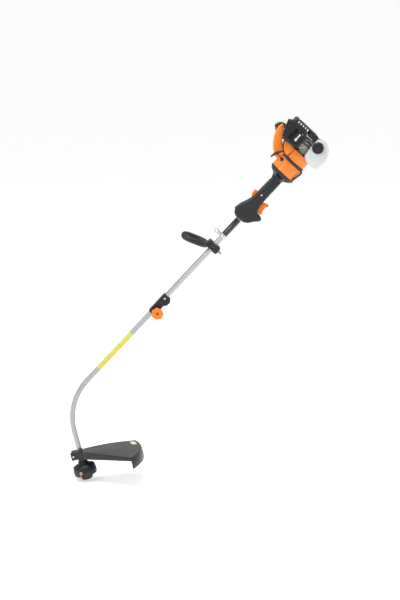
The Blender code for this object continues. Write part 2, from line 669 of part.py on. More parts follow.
def build_fuel(tool):
    outline = [(452, -54), (456, -30), (468, -11), (502, -6), (551, -6), (560, -30),
               (560.5, -56), (549, -72), (525, -84), (501, -88), (459, -83), (452, -68)]
    inside = [(467, -54), (467, -36), (474, -16), (503, -10), (548, -10), (556, -31),
              (556.5, -55), (546, -69), (524, -80.5), (501, -84.5), (468, -80), (467, -68)]
    tank = side_plate("fuel_tank", outline, -62, 62, tool, LOOKS["tank"], 9, 2)
    room = side_plate("tank_room", inside, -58.5, 58.5, tool, None, 5)
    case_room = rod("case_room", 33, 430, 575, tool, (0, 0, 0), ALONG_SHAFT, None, 24)
    case_wall = rod("case_wall", 37, 430, 575, tool, (0, 0, 0), ALONG_SHAFT, None, 24)
    cut(room, case_wall)
    housing_room = rod("housing_room", ENGINE_RADIUS + 1, 430, FAN_BACK + 1, tool, (0, 0, 4),
                       ALONG_SHAFT, None, 28)
    cap_place = (CAP_PLACE[0], -61.5, CAP_PLACE[1])
    neck = rod("filler_neck", 18, -2, 4, tool, cap_place, TO_LEFT, None, 20)
    filler = rod("filler_hole", 14, -20, 10, tool, cap_place, TO_LEFT, None, 16)
    cut(tank, case_room, housing_room)
    join(tank, neck)
    cut(tank, room, filler)
    turned("tank_cap", [(0, 19), (20.5, 19), (CAP_RADIUS, 16), (CAP_RADIUS, 0.9), (18.5, 0.9),
                        (18.5, 5), (0, 5)], tool, cap_place, TO_LEFT, LOOKS["black_plastic"], 24)


def build_throttle_cable(tool):
    bar("throttle_cable", smooth_path(CABLE_ROUTE, 3), 3.6, tool, LOOKS["rubber"], sides=8)


def build():
    tilt = math.radians(SHAFT_TILT)
    start = (EYELET_UP * math.sin(tilt), 0.0, -EYELET_UP * math.cos(tilt))
    tool = empty("tool_frame", None, start, (0, -SHAFT_TILT, 0))
    head = empty("head_frame", tool, head_place(), (0, 90.0 - BEND_ANGLE, 0))
    build_lower_shaft(tool)
    build_coupler(tool)
    build_upper_shaft(tool)
    build_loop_handle(tool)
    build_rear_handle(tool)
    build_head(head)
    build_guard(head)
    build_clutch(tool)
    build_starter(tool)
    build_fan_housing(tool)
    build_engine_block(tool)
    build_intake(tool)
    build_exhaust(tool)
    build_rear_cover(tool)
    build_fuel(tool)
    build_throttle_cable(tool)


clear_scene()
PARTS = new_collection("string_trimmer")
CUTTERS = new_collection("cutters")
LOOKS = {
    "painted_tube": make_material("painted_tube", (0.50, 0.51, 0.53), 0.35, 0.3),
    "bright_tube": make_material("bright_tube", (0.66, 0.67, 0.69), 0.25, 0.8),
    "steel": make_material("steel", (0.55, 0.56, 0.57), 0.3, 1.0),
    "cast_metal": make_material("cast_metal", (0.58, 0.57, 0.54), 0.5, 0.8),
    "black_plastic": make_material("black_plastic", (0.02, 0.02, 0.022), 0.45),
    "grip": make_material("grip", (0.025, 0.025, 0.028), 0.6),
    "rubber": make_material("rubber", (0.012, 0.012, 0.013), 0.5),
    "orange_plastic": make_material("orange_plastic", (0.83, 0.21, 0.02), 0.35),
    "line": make_material("line", (0.8, 0.25, 0.04), 0.3),
    "rope": make_material("rope", (0.12, 0.03, 0.02), 0.7),
    "foam": make_material("foam", (0.03, 0.03, 0.03), 0.9),
    "bright_lever": make_material("bright_lever", (0.75, 0.75, 0.76), 0.3, 0.5),
    "tank": make_material("tank", (0.85, 0.86, 0.86), 0.3),
}
build()
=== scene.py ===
"""Looks of a petrol string trimmer: a curved split shaft with a tap-feed line head and guard, two
handles and a small two-cycle engine. Sizes are in millimetres, in the shaft's own frame, where s
runs up the shaft, y to the operator's right and u up from the shaft."""

import math

import bmesh
import bpy
from mathutils import Matrix, Vector

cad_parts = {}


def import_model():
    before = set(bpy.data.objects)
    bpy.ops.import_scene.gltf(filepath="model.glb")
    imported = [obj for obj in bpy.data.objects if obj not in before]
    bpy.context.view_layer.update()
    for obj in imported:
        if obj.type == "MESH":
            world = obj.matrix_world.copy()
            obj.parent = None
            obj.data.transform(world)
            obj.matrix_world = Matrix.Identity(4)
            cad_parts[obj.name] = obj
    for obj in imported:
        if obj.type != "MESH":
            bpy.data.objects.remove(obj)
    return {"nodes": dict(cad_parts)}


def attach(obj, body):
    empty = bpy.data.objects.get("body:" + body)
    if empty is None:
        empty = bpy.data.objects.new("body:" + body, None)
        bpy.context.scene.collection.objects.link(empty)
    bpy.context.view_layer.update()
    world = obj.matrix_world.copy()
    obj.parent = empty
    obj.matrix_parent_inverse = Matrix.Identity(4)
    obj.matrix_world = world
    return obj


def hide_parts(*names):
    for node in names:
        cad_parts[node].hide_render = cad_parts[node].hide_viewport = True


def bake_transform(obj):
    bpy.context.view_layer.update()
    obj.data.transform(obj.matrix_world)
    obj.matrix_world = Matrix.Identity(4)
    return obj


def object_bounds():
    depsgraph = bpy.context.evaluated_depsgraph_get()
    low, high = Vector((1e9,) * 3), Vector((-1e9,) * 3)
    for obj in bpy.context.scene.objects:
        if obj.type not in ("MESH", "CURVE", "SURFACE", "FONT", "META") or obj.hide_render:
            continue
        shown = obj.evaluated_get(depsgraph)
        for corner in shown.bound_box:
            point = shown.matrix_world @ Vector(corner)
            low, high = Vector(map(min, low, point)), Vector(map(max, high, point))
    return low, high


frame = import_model()
box_at_start = [list(corner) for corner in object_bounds()]
NODES = frame["nodes"]

MM = 0.001

# The shaft and what sits on it

SHAFT_TILT = 47.25
EYELET_UP = 34.3
TUBE = 11.0
BORE = TUBE + 0.3
BEND_START = -824.0
BEND_RADIUS = 237.0
BEND_ANGLE = 57.0
HEAD_RISE = 7.0
HEAD_TUBE_END = 118.0
LOWER_TUBE_TOP = -367.0
UPPER_TUBE_BOTTOM = -362.0
UPPER_TUBE_TOP = 322.0
KNOB_PLACE = (-413.0, -18.5)
BUTTON_PLACE = -391.0
LOOP_PLACE = -58.0
LOOP_LEAN = 21.0
LINE_TURN = -16.5
GUARD_REACH = 250.0
STARTER_BACK = 409.0
FAN_BACK = 462.0
CASING = 55.5
CYLINDER_PLACE = 499.0
CAP_PLACE = (528.0, -27.0)
PULL_HOLE = (396.0, -35.5, 44.0)
PULL_TURN = (33.9, 9.4)
PULL_STANDOFF = 44.0


def turned(angle, axis):
    return Matrix.Rotation(math.radians(angle), 4, axis)


def moved(s=0.0, y=0.0, u=0.0):
    return Matrix.Translation((s, y, u))


def head_place():
    angle = math.radians(BEND_ANGLE)
    along = BEND_START - BEND_RADIUS * math.sin(angle) + HEAD_RISE * math.cos(angle)
    return along, 0.0, -BEND_RADIUS * (1 - math.cos(angle)) + HEAD_RISE * math.sin(angle)


TOOL = turned(-SHAFT_TILT, "Y") @ moved(u=-EYELET_UP)
HEAD = TOOL @ moved(*head_place()) @ turned(90 - BEND_ANGLE, "Y")
LOOP = TOOL @ moved(LOOP_PLACE) @ turned(-LOOP_LEAN, "Y")
PULL = TOOL @ moved(*PULL_HOLE) @ turned(PULL_TURN[1], "Y") @ turned(PULL_TURN[0], "X")
ALONG = turned(90, "Y")
LEFT = turned(90, "X")
SHAFT = TOOL @ ALONG
KNOB = TOOL @ moved(KNOB_PLACE[0], 0, KNOB_PLACE[1]) @ LEFT
EYELET = TOOL @ moved(0, 0, EYELET_UP) @ LEFT
FAN = TOOL @ moved(u=4) @ ALONG


def world(matrix, point):
    return (matrix @ Vector(point)) * MM


# Outlines

def arc(radius, first, last, steps, centre=(0.0, 0.0)):
    points = []
    for i in range(steps + 1):
        angle = math.radians(first + (last - first) * i / steps)
        points.append((centre[0] + radius * math.cos(angle), centre[1] + radius * math.sin(angle)))
    return points


def softened(outline, radius, steps=4, closed=True):
    """The outline with each corner rounded. A corner may give its own radius as a third value."""
    points = []
    count = len(outline)
    for i in range(count):
        here = Vector(outline[i][:2])
        bend = outline[i][2] if len(outline[i]) > 2 else radius
        if bend <= 0 or (not closed and i in (0, count - 1)):
            points.append(tuple(here))
            continue
        back = Vector(outline[i - 1][:2]) - here
        on = Vector(outline[(i + 1) % count][:2]) - here
        if back.length < 1e-6 or on.length < 1e-6:
            continue
        angle = back.angle(on)
        if angle > math.radians(176):
            points.append(tuple(here))
            continue
        reach = min(bend / math.tan(angle / 2), 0.48 * back.length, 0.48 * on.length)
        start, end = here + back.normalized() * reach, here + on.normalized() * reach
        for k in range(steps + 1):
            t = k / steps
            point = start * (1 - t) ** 2 + here * 2 * t * (1 - t) + end * t * t
            points.append(tuple(point))
    return points


def spline(points, steps=6, closed=False):
    """Points on a smooth curve through the given points."""
    points = [Vector(point) for point in points]
    count = len(points)
    path = []
    for i in range(count if closed else count - 1):
        if closed:
            a, b, c, d = (points[(i + k - 1) % count] for k in range(4))
        else:
            b, c = points[i], points[i + 1]
            a = points[i - 1] if i else b * 2 - c
            d = points[i + 2] if i + 2 < count else c * 2 - b
        for k in range(steps):
            t = k / steps
            path.append(0.5 * (2 * b + (c - a) * t + (2 * a - 5 * b + 4 * c - d) * t * t
                               + (3 * b - a - 3 * c + d) * t ** 3))
    if not closed:
        path.append(points[-1])
    return path


def inset(outline, amount):
    """The outline moved inwards, for one that runs anticlockwise."""
    count = len(outline)
    area = sum(outline[i - 1][0] * outline[i][1] - outline[i][0] * outline[i - 1][1]
               for i in range(count))
    side = 1 if area > 0 else -1
    points = []
    for i in range(count):
        before, here, after = (Vector(outline[(i + k) % count]) for k in (-1, 0, 1))
        first, second = (here - before).normalized(), (after - here).normalized()
        normal = Vector((-first.y - second.y, first.x + second.x))
        if normal.length < 1e-6:
            points.append(tuple(here))
            continue
        normal.normalize()
        spread = max(0.5, normal.dot(Vector((-first.y, first.x))))
        points.append(tuple(here + normal * side * amount / spread))
    return points


# Shapes, each a bmesh in millimetres

def skinned(rings, closed_way=False, closed_ring=True, caps=True):
    """A surface through rings of points, one after the other."""
    form = bmesh.new()
    rows = [[form.verts.new(point) for point in ring] for ring in rings]
    spans = len(rows) if closed_way else len(rows) - 1
    for i in range(spans):
        here, after = rows[i], rows[(i + 1) % len(rows)]
        for j in range(len(here) if closed_ring else len(here) - 1):
            k = (j + 1) % len(here)
            form.faces.new((here[j], here[k], after[k], after[j]))
    if caps and not closed_way and closed_ring:
        form.faces.new(list(reversed(rows[0])))
        form.faces.new(rows[-1])
    return cleaned(form)


def cleaned(form):
    bmesh.ops.remove_doubles(form, verts=form.verts, dist=0.002)
    bmesh.ops.dissolve_degenerate(form, edges=form.edges, dist=0.001)
    bmesh.ops.recalc_face_normals(form, faces=form.faces)
    return form


def placed(form, matrix):
    bmesh.ops.transform(form, matrix=matrix, verts=form.verts)
    if matrix.determinant() < 0:
        bmesh.ops.reverse_faces(form, faces=form.faces)
    return form


def lathe(profile, sides=48, matrix=None, edge=0.0, steps=3, hollow=False):
    """A solid of revolution about local Z. The profile is (radius, height) points."""
    outline = softened(profile, edge, steps, closed=hollow) if edge else [p[:2] for p in profile]
    rings = []
    for k in range(sides):
        angle = 2 * math.pi * k / sides
        rings.append([(r * math.cos(angle), r * math.sin(angle), z) for r, z in outline])
    form = skinned(rings, closed_way=True, closed_ring=hollow)
    return placed(form, matrix) if matrix else form


def rod(radius, low, high, sides=48, matrix=None, edge=0.0, steps=3):
    return lathe([(0, low), (radius, low), (radius, high), (0, high)], sides, matrix, edge, steps)


def collar(inner, outer, low, high, sides, matrix, edge):
    return lathe([(inner, low), (outer, low), (outer, high), (inner, high)], sides, matrix, edge,
                 hollow=True)


def plate(outline, low, high, matrix, edge=0.0, steps=3):
    """A flat shape between two levels of local Z, with rounded rims."""
    layers = []
    if edge:
        for k in range(steps + 1):
            angle = math.pi / 2 * k / steps
            layers.append((edge * (1 - math.sin(angle)), low + edge * (1 - math.cos(angle))))
        layers += [(amount, low + high - level) for amount, level in reversed(layers)]
    else:
        layers = [(0, low), (0, high)]
    rings = [[(x, y, level) for x, y in inset(outline, amount)] for amount, level in layers]
    return placed(skinned(rings), matrix)


def side_plate(outline, left, right, matrix=TOOL, edge=0.0, steps=3):
    """A flat shape in the (s, u) plane between two values of y."""
    flat = Matrix(((1, 0, 0, 0), (0, 0, 1, 0), (0, 1, 0, 0), (0, 0, 0, 1)))
    return cleaned(placed(plate(outline, left, right, flat, edge, steps), matrix))


def brick(size, centre, matrix=TOOL, edge=1.0, steps=3):
    form = bmesh.new()
    bmesh.ops.create_cube(form, size=1.0)
    for vert in form.verts:
        vert.co = Vector([vert.co[i] * size[i] + centre[i] for i in range(3)])
    if edge:
        bmesh.ops.bevel(form, geom=form.edges[:], offset=edge, segments=steps, profile=0.5,
                        affect="EDGES")
    return placed(form, matrix)


def sweep(points, radius, matrix=TOOL, sides=24, closed=False, dome=0, squash=1.0):
    """A round bar along a path. The radius may be a function of the way along, from 0 to 1."""
    path = [Vector(point) for point in points]
    size = radius if callable(radius) else lambda way: radius
    last = len(path) if closed else len(path) - 1
    stations = []
    for i, point in enumerate(path):
        before = path[i - 1] if i or closed else point
        after = path[(i + 1) % len(path)] if i + 1 < len(path) or closed else point
        stations.append((point, (after - before).normalized(), size(i / last)))
    if dome and not closed:
        caps = []
        for (point, way, reach), side in ((stations[0], -1), (stations[-1], 1)):
            caps.append([(point + way * side * reach * math.sin(math.pi * k / 2 / (dome + 1)), way,
                          reach * math.cos(math.pi * k / 2 / (dome + 1)))
                         for k in range(1, dome + 1)])
        stations = caps[0][::-1] + stations + caps[1]
    way = stations[0][1]
    normal = Vector((0, 1, 0)) if abs(way.y) < 0.9 else Vector((1, 0, 0))
    rings = []
    for point, way, reach in stations:
        normal = (normal - way * normal.dot(way)).normalized()
        other = way.cross(normal) * squash
        rings.append([point + (normal * math.cos(a) + other * math.sin(a)) * reach
                      for a in (2 * math.pi * k / sides for k in range(sides))])
    return placed(skinned(rings, closed_way=closed), matrix)


def merged(*forms):
    first = forms[0]
    for other in forms[1:]:
        spare = bpy.data.meshes.new("spare")
        other.to_mesh(spare)
        other.free()
        first.from_mesh(spare)
        bpy.data.meshes.remove(spare)
    return first


# Pieces

PIECES = {}


def in_scene(name, data):
    obj = bpy.data.objects.new(name, data)
    bpy.context.scene.collection.objects.link(obj)
    return obj


def as_object(name, form):
    mesh = bpy.data.meshes.new(name)
    bmesh.ops.transform(form, matrix=Matrix.Scale(MM, 4), verts=form.verts)
    form.to_mesh(mesh)
    form.free()
    return in_scene(name, mesh)


def baked(obj):
    """The object with its modifiers made part of its mesh."""
    graph = bpy.context.evaluated_depsgraph_get()
    mesh = bpy.data.meshes.new_from_object(obj.evaluated_get(graph))
    obj.modifiers.clear()
    old, obj.data = obj.data, mesh
    mesh.name = obj.name
    bpy.data.meshes.remove(old)
    return obj


def modified(obj, kind, **settings):
    """The object with one modifier made part of its mesh."""
    modifier = obj.modifiers.new(kind.lower(), kind)
    for label, value in settings.items():
        setattr(modifier, label, value)
    return baked(obj)


def cut_by(obj, *forms):
    """Takes the shapes out of the object."""
    for form in forms:
        tool = as_object("cutter", form)
        modified(obj, "BOOLEAN", object=tool, solver="EXACT")
        bpy.data.objects.remove(tool)
    if not obj.data.polygons:
        raise RuntimeError("a cut removed all of " + obj.name)
    return obj


def piece(name, form, body, material, slot, replaces=(), smooth=32, cuts=(), round_to=0.0,
          stretch=None):
    """One visible piece: shaded smooth, given its material, and riding on its body."""
    obj = form if isinstance(form, bpy.types.Object) else as_object(name, form)
    obj.name = name
    if cuts:
        cut_by(obj, *cuts)
    if round_to:
        modified(obj, "BEVEL", width=round_to * MM, segments=2, limit_method="ANGLE",
                 angle_limit=math.radians(40))
    obj.data.materials.clear()
    obj.data.materials.append(material)
    obj.data.shade_smooth()
    obj.data.set_sharp_from_angle(angle=math.radians(smooth))
    if stretch:
        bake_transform(obj)
    else:
        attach(obj, body)
    if replaces:
        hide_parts(*([replaces] if isinstance(replaces, str) else replaces))
    PIECES[name] = obj
    return obj


# Geometry Nodes: one tree repeats a shape, the other sets screws

def fed(tree, made, inputs):
    """The node with its inputs set. Each takes a value, or an output as (node, socket)."""
    for label, value in inputs.items():
        if isinstance(value, tuple) and isinstance(value[0], bpy.types.Node):
            tree.links.new(value[0].outputs[value[1]], made.inputs[label])
        else:
            made.inputs[label].default_value = value
    return made


def node(tree, kind, inputs=None, **settings):
    made = tree.nodes.new(kind)
    for label, value in settings.items():
        setattr(made, label, value)
    return fed(tree, made, inputs or {})


def new_tree(name, sockets):
    tree = bpy.data.node_groups.new(name, "GeometryNodeTree")
    tree.interface.new_socket("Geometry", in_out="INPUT", socket_type="NodeSocketGeometry")
    for label, kind in sockets:
        tree.interface.new_socket(label, in_out="INPUT", socket_type="NodeSocket" + kind)
    tree.interface.new_socket("Geometry", in_out="OUTPUT", socket_type="NodeSocketGeometry")
    return tree, tree.nodes.new("NodeGroupInput"), tree.nodes.new("NodeGroupOutput")


def finished(tree, given, result, points, shape, rotation):
    """Ends a tree: a copy of the shape on each point, made real and given its material."""
    copies = node(tree, "GeometryNodeInstanceOnPoints",
                  {"Points": points, "Instance": shape, "Rotation": rotation})
    real = node(tree, "GeometryNodeRealizeInstances", {0: (copies, 0)})
    finish = node(tree, "GeometryNodeSetMaterial",
                  {"Geometry": (real, 0), "Material": (given, "Material")})
    fed(tree, result, {0: (finish, 0)})
    return tree


def repeat_tree():
    """Repeats the incoming shape: copy i is turned i times by Turn, then moved i times by Step."""
    tree, given, result = new_tree("repeat a shape", [
        ("Count", "Int"), ("Step", "Vector"), ("Turn", "Vector"), ("Material", "Material")])
    line = node(tree, "GeometryNodeMeshLine",
                {"Count": (given, "Count"), "Offset": (given, "Step")})
    index = node(tree, "GeometryNodeInputIndex")
    turn = node(tree, "ShaderNodeVectorMath", operation="SCALE")
    fed(tree, turn, {0: (given, "Turn"), "Scale": (index, 0)})
    return finished(tree, given, result, (line, 0), (given, "Geometry"), (turn, 0))


def screw_tree():
    """A socket-head screw on each incoming point, its head facing along the point's facing."""
    tree, given, result = new_tree("set screws", [
        ("Head Radius", "Float"), ("Head Height", "Float"), ("Socket Radius", "Float"),
        ("Material", "Material")])
    tall = (given, "Head Height")
    head = node(tree, "GeometryNodeMeshCylinder",
                {"Vertices": 28, "Radius": (given, "Head Radius"), "Depth": tall})
    socket = node(tree, "GeometryNodeMeshCylinder",
                  {"Vertices": 6, "Radius": (given, "Socket Radius"), "Depth": tall})
    half = node(tree, "ShaderNodeMath", {0: tall, 1: 0.45}, operation="MULTIPLY")
    lift = node(tree, "ShaderNodeCombineXYZ", {"Z": (half, 0)})
    raised = node(tree, "GeometryNodeTransform",
                  {"Geometry": (socket, 0), "Translation": (lift, 0)})
    hollow = node(tree, "GeometryNodeMeshBoolean", operation="DIFFERENCE")
    fed(tree, hollow, {0: (head, 0), 1: (raised, 0)})
    facing = node(tree, "GeometryNodeInputNamedAttribute", {"Name": "facing"},
                  data_type="FLOAT_VECTOR")
    align = node(tree, "FunctionNodeAlignRotationToVector", {"Vector": (facing, 0)}, axis="Z")
    return finished(tree, given, result, (given, "Geometry"), (hollow, 0), (align, 0))


REPEAT = repeat_tree()
SCREWS = screw_tree()


def moulding(name, form, replaces=(), **more):
    """A piece of black plastic, fixed to the frame."""
    return piece(name, form, "frame", BLACK, "black_plastic", replaces, **more)


def run_tree(obj, tree, values):
    modifier = obj.modifiers.new("nodes", "NODES")
    modifier.node_group = tree
    for item in tree.interface.items_tree:
        if item.in_out == "INPUT" and item.name in values:
            modifier[item.identifier] = values[item.name]
    return baked(obj)


def repeated(form, count, step=(0, 0, 0), turn=(0, 0, 0), matrix=TOOL):
    """Copies of a shape, as a shape again. Step is in millimetres and turn in degrees."""
    obj = as_object("unit", form)
    run_tree(obj, REPEAT, {"Count": count, "Step": [value * MM for value in step],
                           "Turn": [math.radians(value) for value in turn]})
    return from_object(obj, matrix)


def from_object(obj, matrix):
    form = bmesh.new()
    form.from_mesh(obj.data)
    bmesh.ops.transform(form, matrix=Matrix.Scale(1 / MM, 4), verts=form.verts)
    bpy.data.objects.remove(obj)
    return placed(form, matrix)


def screws(name, places, body, material, radius=3.5, height=3.0, socket=1.7, replaces=()):
    """Socket-head screws. Each place is (matrix, point, facing) in that matrix's frame."""
    points, facings = [], []
    for matrix, point, facing in places:
        way = (matrix.to_3x3() @ Vector(facing)).normalized()
        points.append(world(matrix, point) + way * height * MM / 2)
        facings.append(way)
    mesh = bpy.data.meshes.new(name)
    mesh.from_pydata(points, [], [])
    values = mesh.attributes.new("facing", "FLOAT_VECTOR", "POINT").data
    for value, facing in zip(values, facings):
        value.vector = facing
    obj = in_scene(name, mesh)
    run_tree(obj, SCREWS, {"Head Radius": radius * MM, "Head Height": height * MM,
                           "Socket Radius": socket * MM, "Material": material})
    return piece(name, obj, body, material, "steel", replaces)


# Rings set along a path, such as grip ribs and the folds of a conduit

def rings_tree():
    """Round rings along the incoming line, each square to it."""
    tree, given, result = new_tree("rings along a path", [
        ("Count", "Int"), ("Ring Radius", "Float"), ("Rib Radius", "Float"),
        ("Material", "Material")])
    curve = node(tree, "GeometryNodeMeshToCurve", {0: (given, "Geometry")})
    points = node(tree, "GeometryNodeCurveToPoints",
                  {"Curve": (curve, 0), "Count": (given, "Count")}, mode="COUNT")
    circle = node(tree, "GeometryNodeCurvePrimitiveCircle",
                  {"Resolution": 32, "Radius": (given, "Ring Radius")})
    section = node(tree, "GeometryNodeCurvePrimitiveCircle",
                   {"Resolution": 8, "Radius": (given, "Rib Radius")})
    ring = node(tree, "GeometryNodeCurveToMesh",
                {"Curve": (circle, 0), "Profile Curve": (section, 0)})
    return finished(tree, given, result, (points, "Points"), (ring, 0), (points, "Rotation"))


RINGS = rings_tree()


def rings_along(name, points, count, radius, rib, body, material, slot, matrix=TOOL):
    mesh = bpy.data.meshes.new(name)
    mesh.from_pydata([world(matrix, point) for point in points],
                     [(i, i + 1) for i in range(len(points) - 1)], [])
    obj = in_scene(name, mesh)
    run_tree(obj, RINGS, {"Count": count, "Ring Radius": radius * MM, "Rib Radius": rib * MM,
                          "Material": material})
    return piece(name, obj, body, material, slot, smooth=60)


# Materials

def make_finish(name, colour, rough, metal=0.0, mottle=0.08, mottle_size=30.0, grain=400.0,
                bump=0.1, rough_spread=0.08, stretch=None, coat=0.0, tint=None, dust=0.0,
                **sockets):
    """A surface with uneven colour and polish, and a fine grain. Stretch draws the grain out
    along the shaft."""
    material = bpy.data.materials.new(name)
    material.use_nodes = True
    tree = material.node_tree
    place = (node(tree, "ShaderNodeTexCoord"), "Object")
    turn = node(tree, "ShaderNodeMapping",
                {"Rotation": (0.0, math.radians(SHAFT_TILT), 0.0), "Vector": place})
    if stretch:
        fed(tree, turn, {"Scale": stretch})
    broad = node(tree, "ShaderNodeTexNoise",
                 {"Scale": mottle_size, "Detail": 4.0, "Vector": place})
    shades = node(tree, "ShaderNodeValToRGB", {"Fac": (broad, "Fac")})
    for element, position, shade in zip(shades.color_ramp.elements, (0.3, 0.7),
                                        (1 - mottle, 1 + mottle)):
        element.position = position
        element.color = (*[min(1.0, c * shade) for c in colour], 1)
    base = (shades, "Color")
    fine = node(tree, "ShaderNodeTexNoise",
                {"Scale": grain, "Detail": 3.0, "Vector": (turn, "Vector")})
    if tint:
        limit = node(tree, "ShaderNodeMapRange", {
            "Value": (fine, "Fac"), "From Min": 0.55, "From Max": 0.75, "To Max": 0.6})
        base = (node(tree, "ShaderNodeMixRGB", {
            "Fac": (limit, "Result"), "Color1": base, "Color2": (*tint, 1)}), "Color")
    if dust:
        edge = node(tree, "ShaderNodeNewGeometry")
        worn = node(tree, "ShaderNodeMapRange", {
            "Value": (edge, "Pointiness"), "From Min": 0.52, "From Max": 0.62, "To Max": dust})
        pale = (*[c + (1 - c) * 0.35 for c in colour], 1)
        base = (node(tree, "ShaderNodeMixRGB", {
            "Fac": (worn, "Result"), "Color1": base, "Color2": pale}), "Color")
    polish = node(tree, "ShaderNodeMapRange", {
        "Value": (broad, "Fac"), "To Min": max(0.03, rough - rough_spread),
        "To Max": min(1.0, rough + rough_spread)})
    relief = node(tree, "ShaderNodeBump", {
        "Height": (fine, "Fac"), "Strength": bump, "Distance": 0.0004})
    fed(tree, tree.nodes["Principled BSDF"], {
        "Metallic": metal, "Coat Weight": coat, "Coat Roughness": 0.12, "Base Color": base,
        "Roughness": (polish, "Result"), "Normal": (relief, "Normal"),
        **{label.replace("_", " "): value for label, value in sockets.items()}})
    return material


ALONG_GRAIN = (0.04, 1.0, 1.0)
GREY_PAINT = make_finish("grey shaft paint", (0.40, 0.41, 0.43), 0.36, 0.25, 0.03, 12, 900, 0.06,
                         coat=0.25, dust=0.25)
DRAWN_TUBE = make_finish("drawn aluminium tube", (0.46, 0.46, 0.47), 0.34, 0.7, 0.05, 8, 500, 0.10,
                         stretch=ALONG_GRAIN)
ZINC = make_finish("zinc plated steel", (0.60, 0.61, 0.62), 0.30, 1.0, 0.10, 60, 500, 0.10)
CAST = make_finish("die cast metal", (0.50, 0.48, 0.43), 0.50, 0.75, 0.12, 40, 260, 0.45,
                   tint=(0.34, 0.31, 0.24))
BLACK = make_finish("black moulded nylon", (0.012, 0.012, 0.014), 0.36, 0.0, 0.2, 40, 1100, 0.35,
                    dust=0.12, Specular_IOR_Level=0.4)
# The guard's finish is a lit copy of its black moulding. Its lighter grey is painted light on the
# top faces, and the steep walls get the darker BLACK as painted shade.
GUARD_LIT_TOP_FINISH = make_finish("guard moulding painted lit", (0.050, 0.051, 0.055), 0.30, 0.0, 0.15, 20, 900, 0.2,
                           dust=0.1)
GRIP = make_finish("textured grip", (0.016, 0.016, 0.018), 0.46, 0.0, 0.15, 30, 620, 0.7,
                   dust=0.1, Sheen_Weight=0.05, Specular_IOR_Level=0.4)
RUBBER = make_finish("smooth rubber", (0.010, 0.010, 0.011), 0.12, 0.0, 0.1, 30, 300, 0.04,
                     coat=0.5)
ORANGE = make_finish("orange moulding", (0.90, 0.235, 0.010), 0.34, 0.0, 0.04, 18, 1300, 0.12,
                     coat=0.2, dust=0.2)
ORANGE_LIGHT = make_finish("orange knob moulding", (0.90, 0.22, 0.010), 0.38, 0.0, 0.04, 40, 1300,
                           0.15, dust=0.2)
NYLON_LINE = make_finish("trimmer line", (0.86, 0.30, 0.10), 0.22, 0.0, 0.08, 60, 200, 0.05,
                         Transmission_Weight=0.25)
ROPE = make_finish("starter rope", (0.10, 0.022, 0.014), 0.8, 0.0, 0.3, 300, 900, 1.0)
FOAM = make_finish("filter foam", (0.02, 0.02, 0.02), 0.95, 0.0, 0.4, 300, 800, 1.0)
BRIGHT = make_finish("bright lever", (0.86, 0.86, 0.87), 0.22, 0.6, 0.03, 40, 300, 0.05)
TANK = make_finish("tank polyethylene", (0.73, 0.74, 0.745), 0.34, 0.0, 0.02, 14, 500, 0.15,
                   Subsurface_Weight=0.35, Subsurface_Scale=0.01)
SOOT = make_finish("heat darkened steel", (0.20, 0.17, 0.14), 0.55, 0.9, 0.25, 40, 300, 0.4)
# A dark red-brown. On the housing seam and the rope guide it is painted shade; on the fuel hoses
# and the knob nut it is their own colour.
DARK_RED_BROWN = make_finish("dark red brown", (0.045, 0.018, 0.010), 0.7, 0.0, 0.2, 60, 600, 0.4)
YELLOW = make_finish("yellow label", (0.66, 0.60, 0.10), 0.40, 0.0, 0.05, 60, 300, 0.05,
                     tint=(0.62, 0.56, 0.20))
STICKER = make_finish("pale sticker", (0.90, 0.88, 0.50), 0.35, 0.0, 0.03, 60, 300, 0.05)
FLOOR = make_finish("floor", (0.93, 0.93, 0.93), 0.8, 0.0, 0.01, 3, 60, 0.0,
                    Emission_Color=(1.0, 1.0, 1.0, 1.0), Emission_Strength=0.5)

NODE_FINISH = {
    ZINC: ["drive_cable", "release_button", "drive_shaft", "harness_bracket", "loop_bolt",
           "handle_screw", "output_spindle", "tap_spring", "guard_bolt", "line_cutter_blade",
           "clutch_drum", "clutch_shoe_upper", "clutch_shoe_lower", "crankshaft", "piston",
           "connecting_rod", "spark_plug"],
    CAST: ["flywheel", "crankcase", "cylinder", "carburettor"],
    SOOT: ["muffler"],
    BLACK: ["coupler_body", "loop_clamp_cap", "stop_switch", "bearing_housing", "head_housing",
            "spool", "tap_knob", "guard_clamp", "clutch_housing", "starter_pulley",
            "starter_handle", "ignition_coil", "air_cleaner_cover", "muffler_guard", "rear_cover",
            "tank_cap"],
    GUARD_LIT_TOP_FINISH: ["guard"],
    GRIP: ["loop_handle", "handle_shell_left", "handle_shell_right"],
    RUBBER: ["rubber_sleeve", "plug_boot", "ignition_lead", "throttle_cable"],
    ORANGE: ["star_knob", "throttle_trigger", "lock_out_lever", "starter_housing",
             "fan_housing"],
    NYLON_LINE: ["wound_line", "cutting_line_left", "cutting_line_right"],
    ROPE: ["starter_rope"], FOAM: ["air_filter"], BRIGHT: ["choke_lever"], TANK: ["fuel_tank"],
    GREY_PAINT: ["lower_tube"], DRAWN_TUBE: ["upper_tube"]}
for look, names in NODE_FINISH.items():
    for node_name in names:
        materials = NODES[node_name].data.materials
        materials.clear()
        materials.append(look)


# Camera, light and floor

AIM = Vector((-0.0677, 0.0, -0.289))
CAMERA_ELEVATION = math.radians(12)
CAMERA_DISTANCE = 8.0
VIEW_HEIGHT = 2.46

camera = in_scene("camera", bpy.data.cameras.new("camera"))
camera.data.lens = 36.0 * CAMERA_DISTANCE / VIEW_HEIGHT
camera.data.clip_end = 60.0
camera.location = AIM + CAMERA_DISTANCE * Vector((0, -math.cos(CAMERA_ELEVATION),
                                                  math.sin(CAMERA_ELEVATION)))
camera.rotation_euler = (math.radians(90) - CAMERA_ELEVATION, 0, 0)
bpy.context.scene.camera = camera


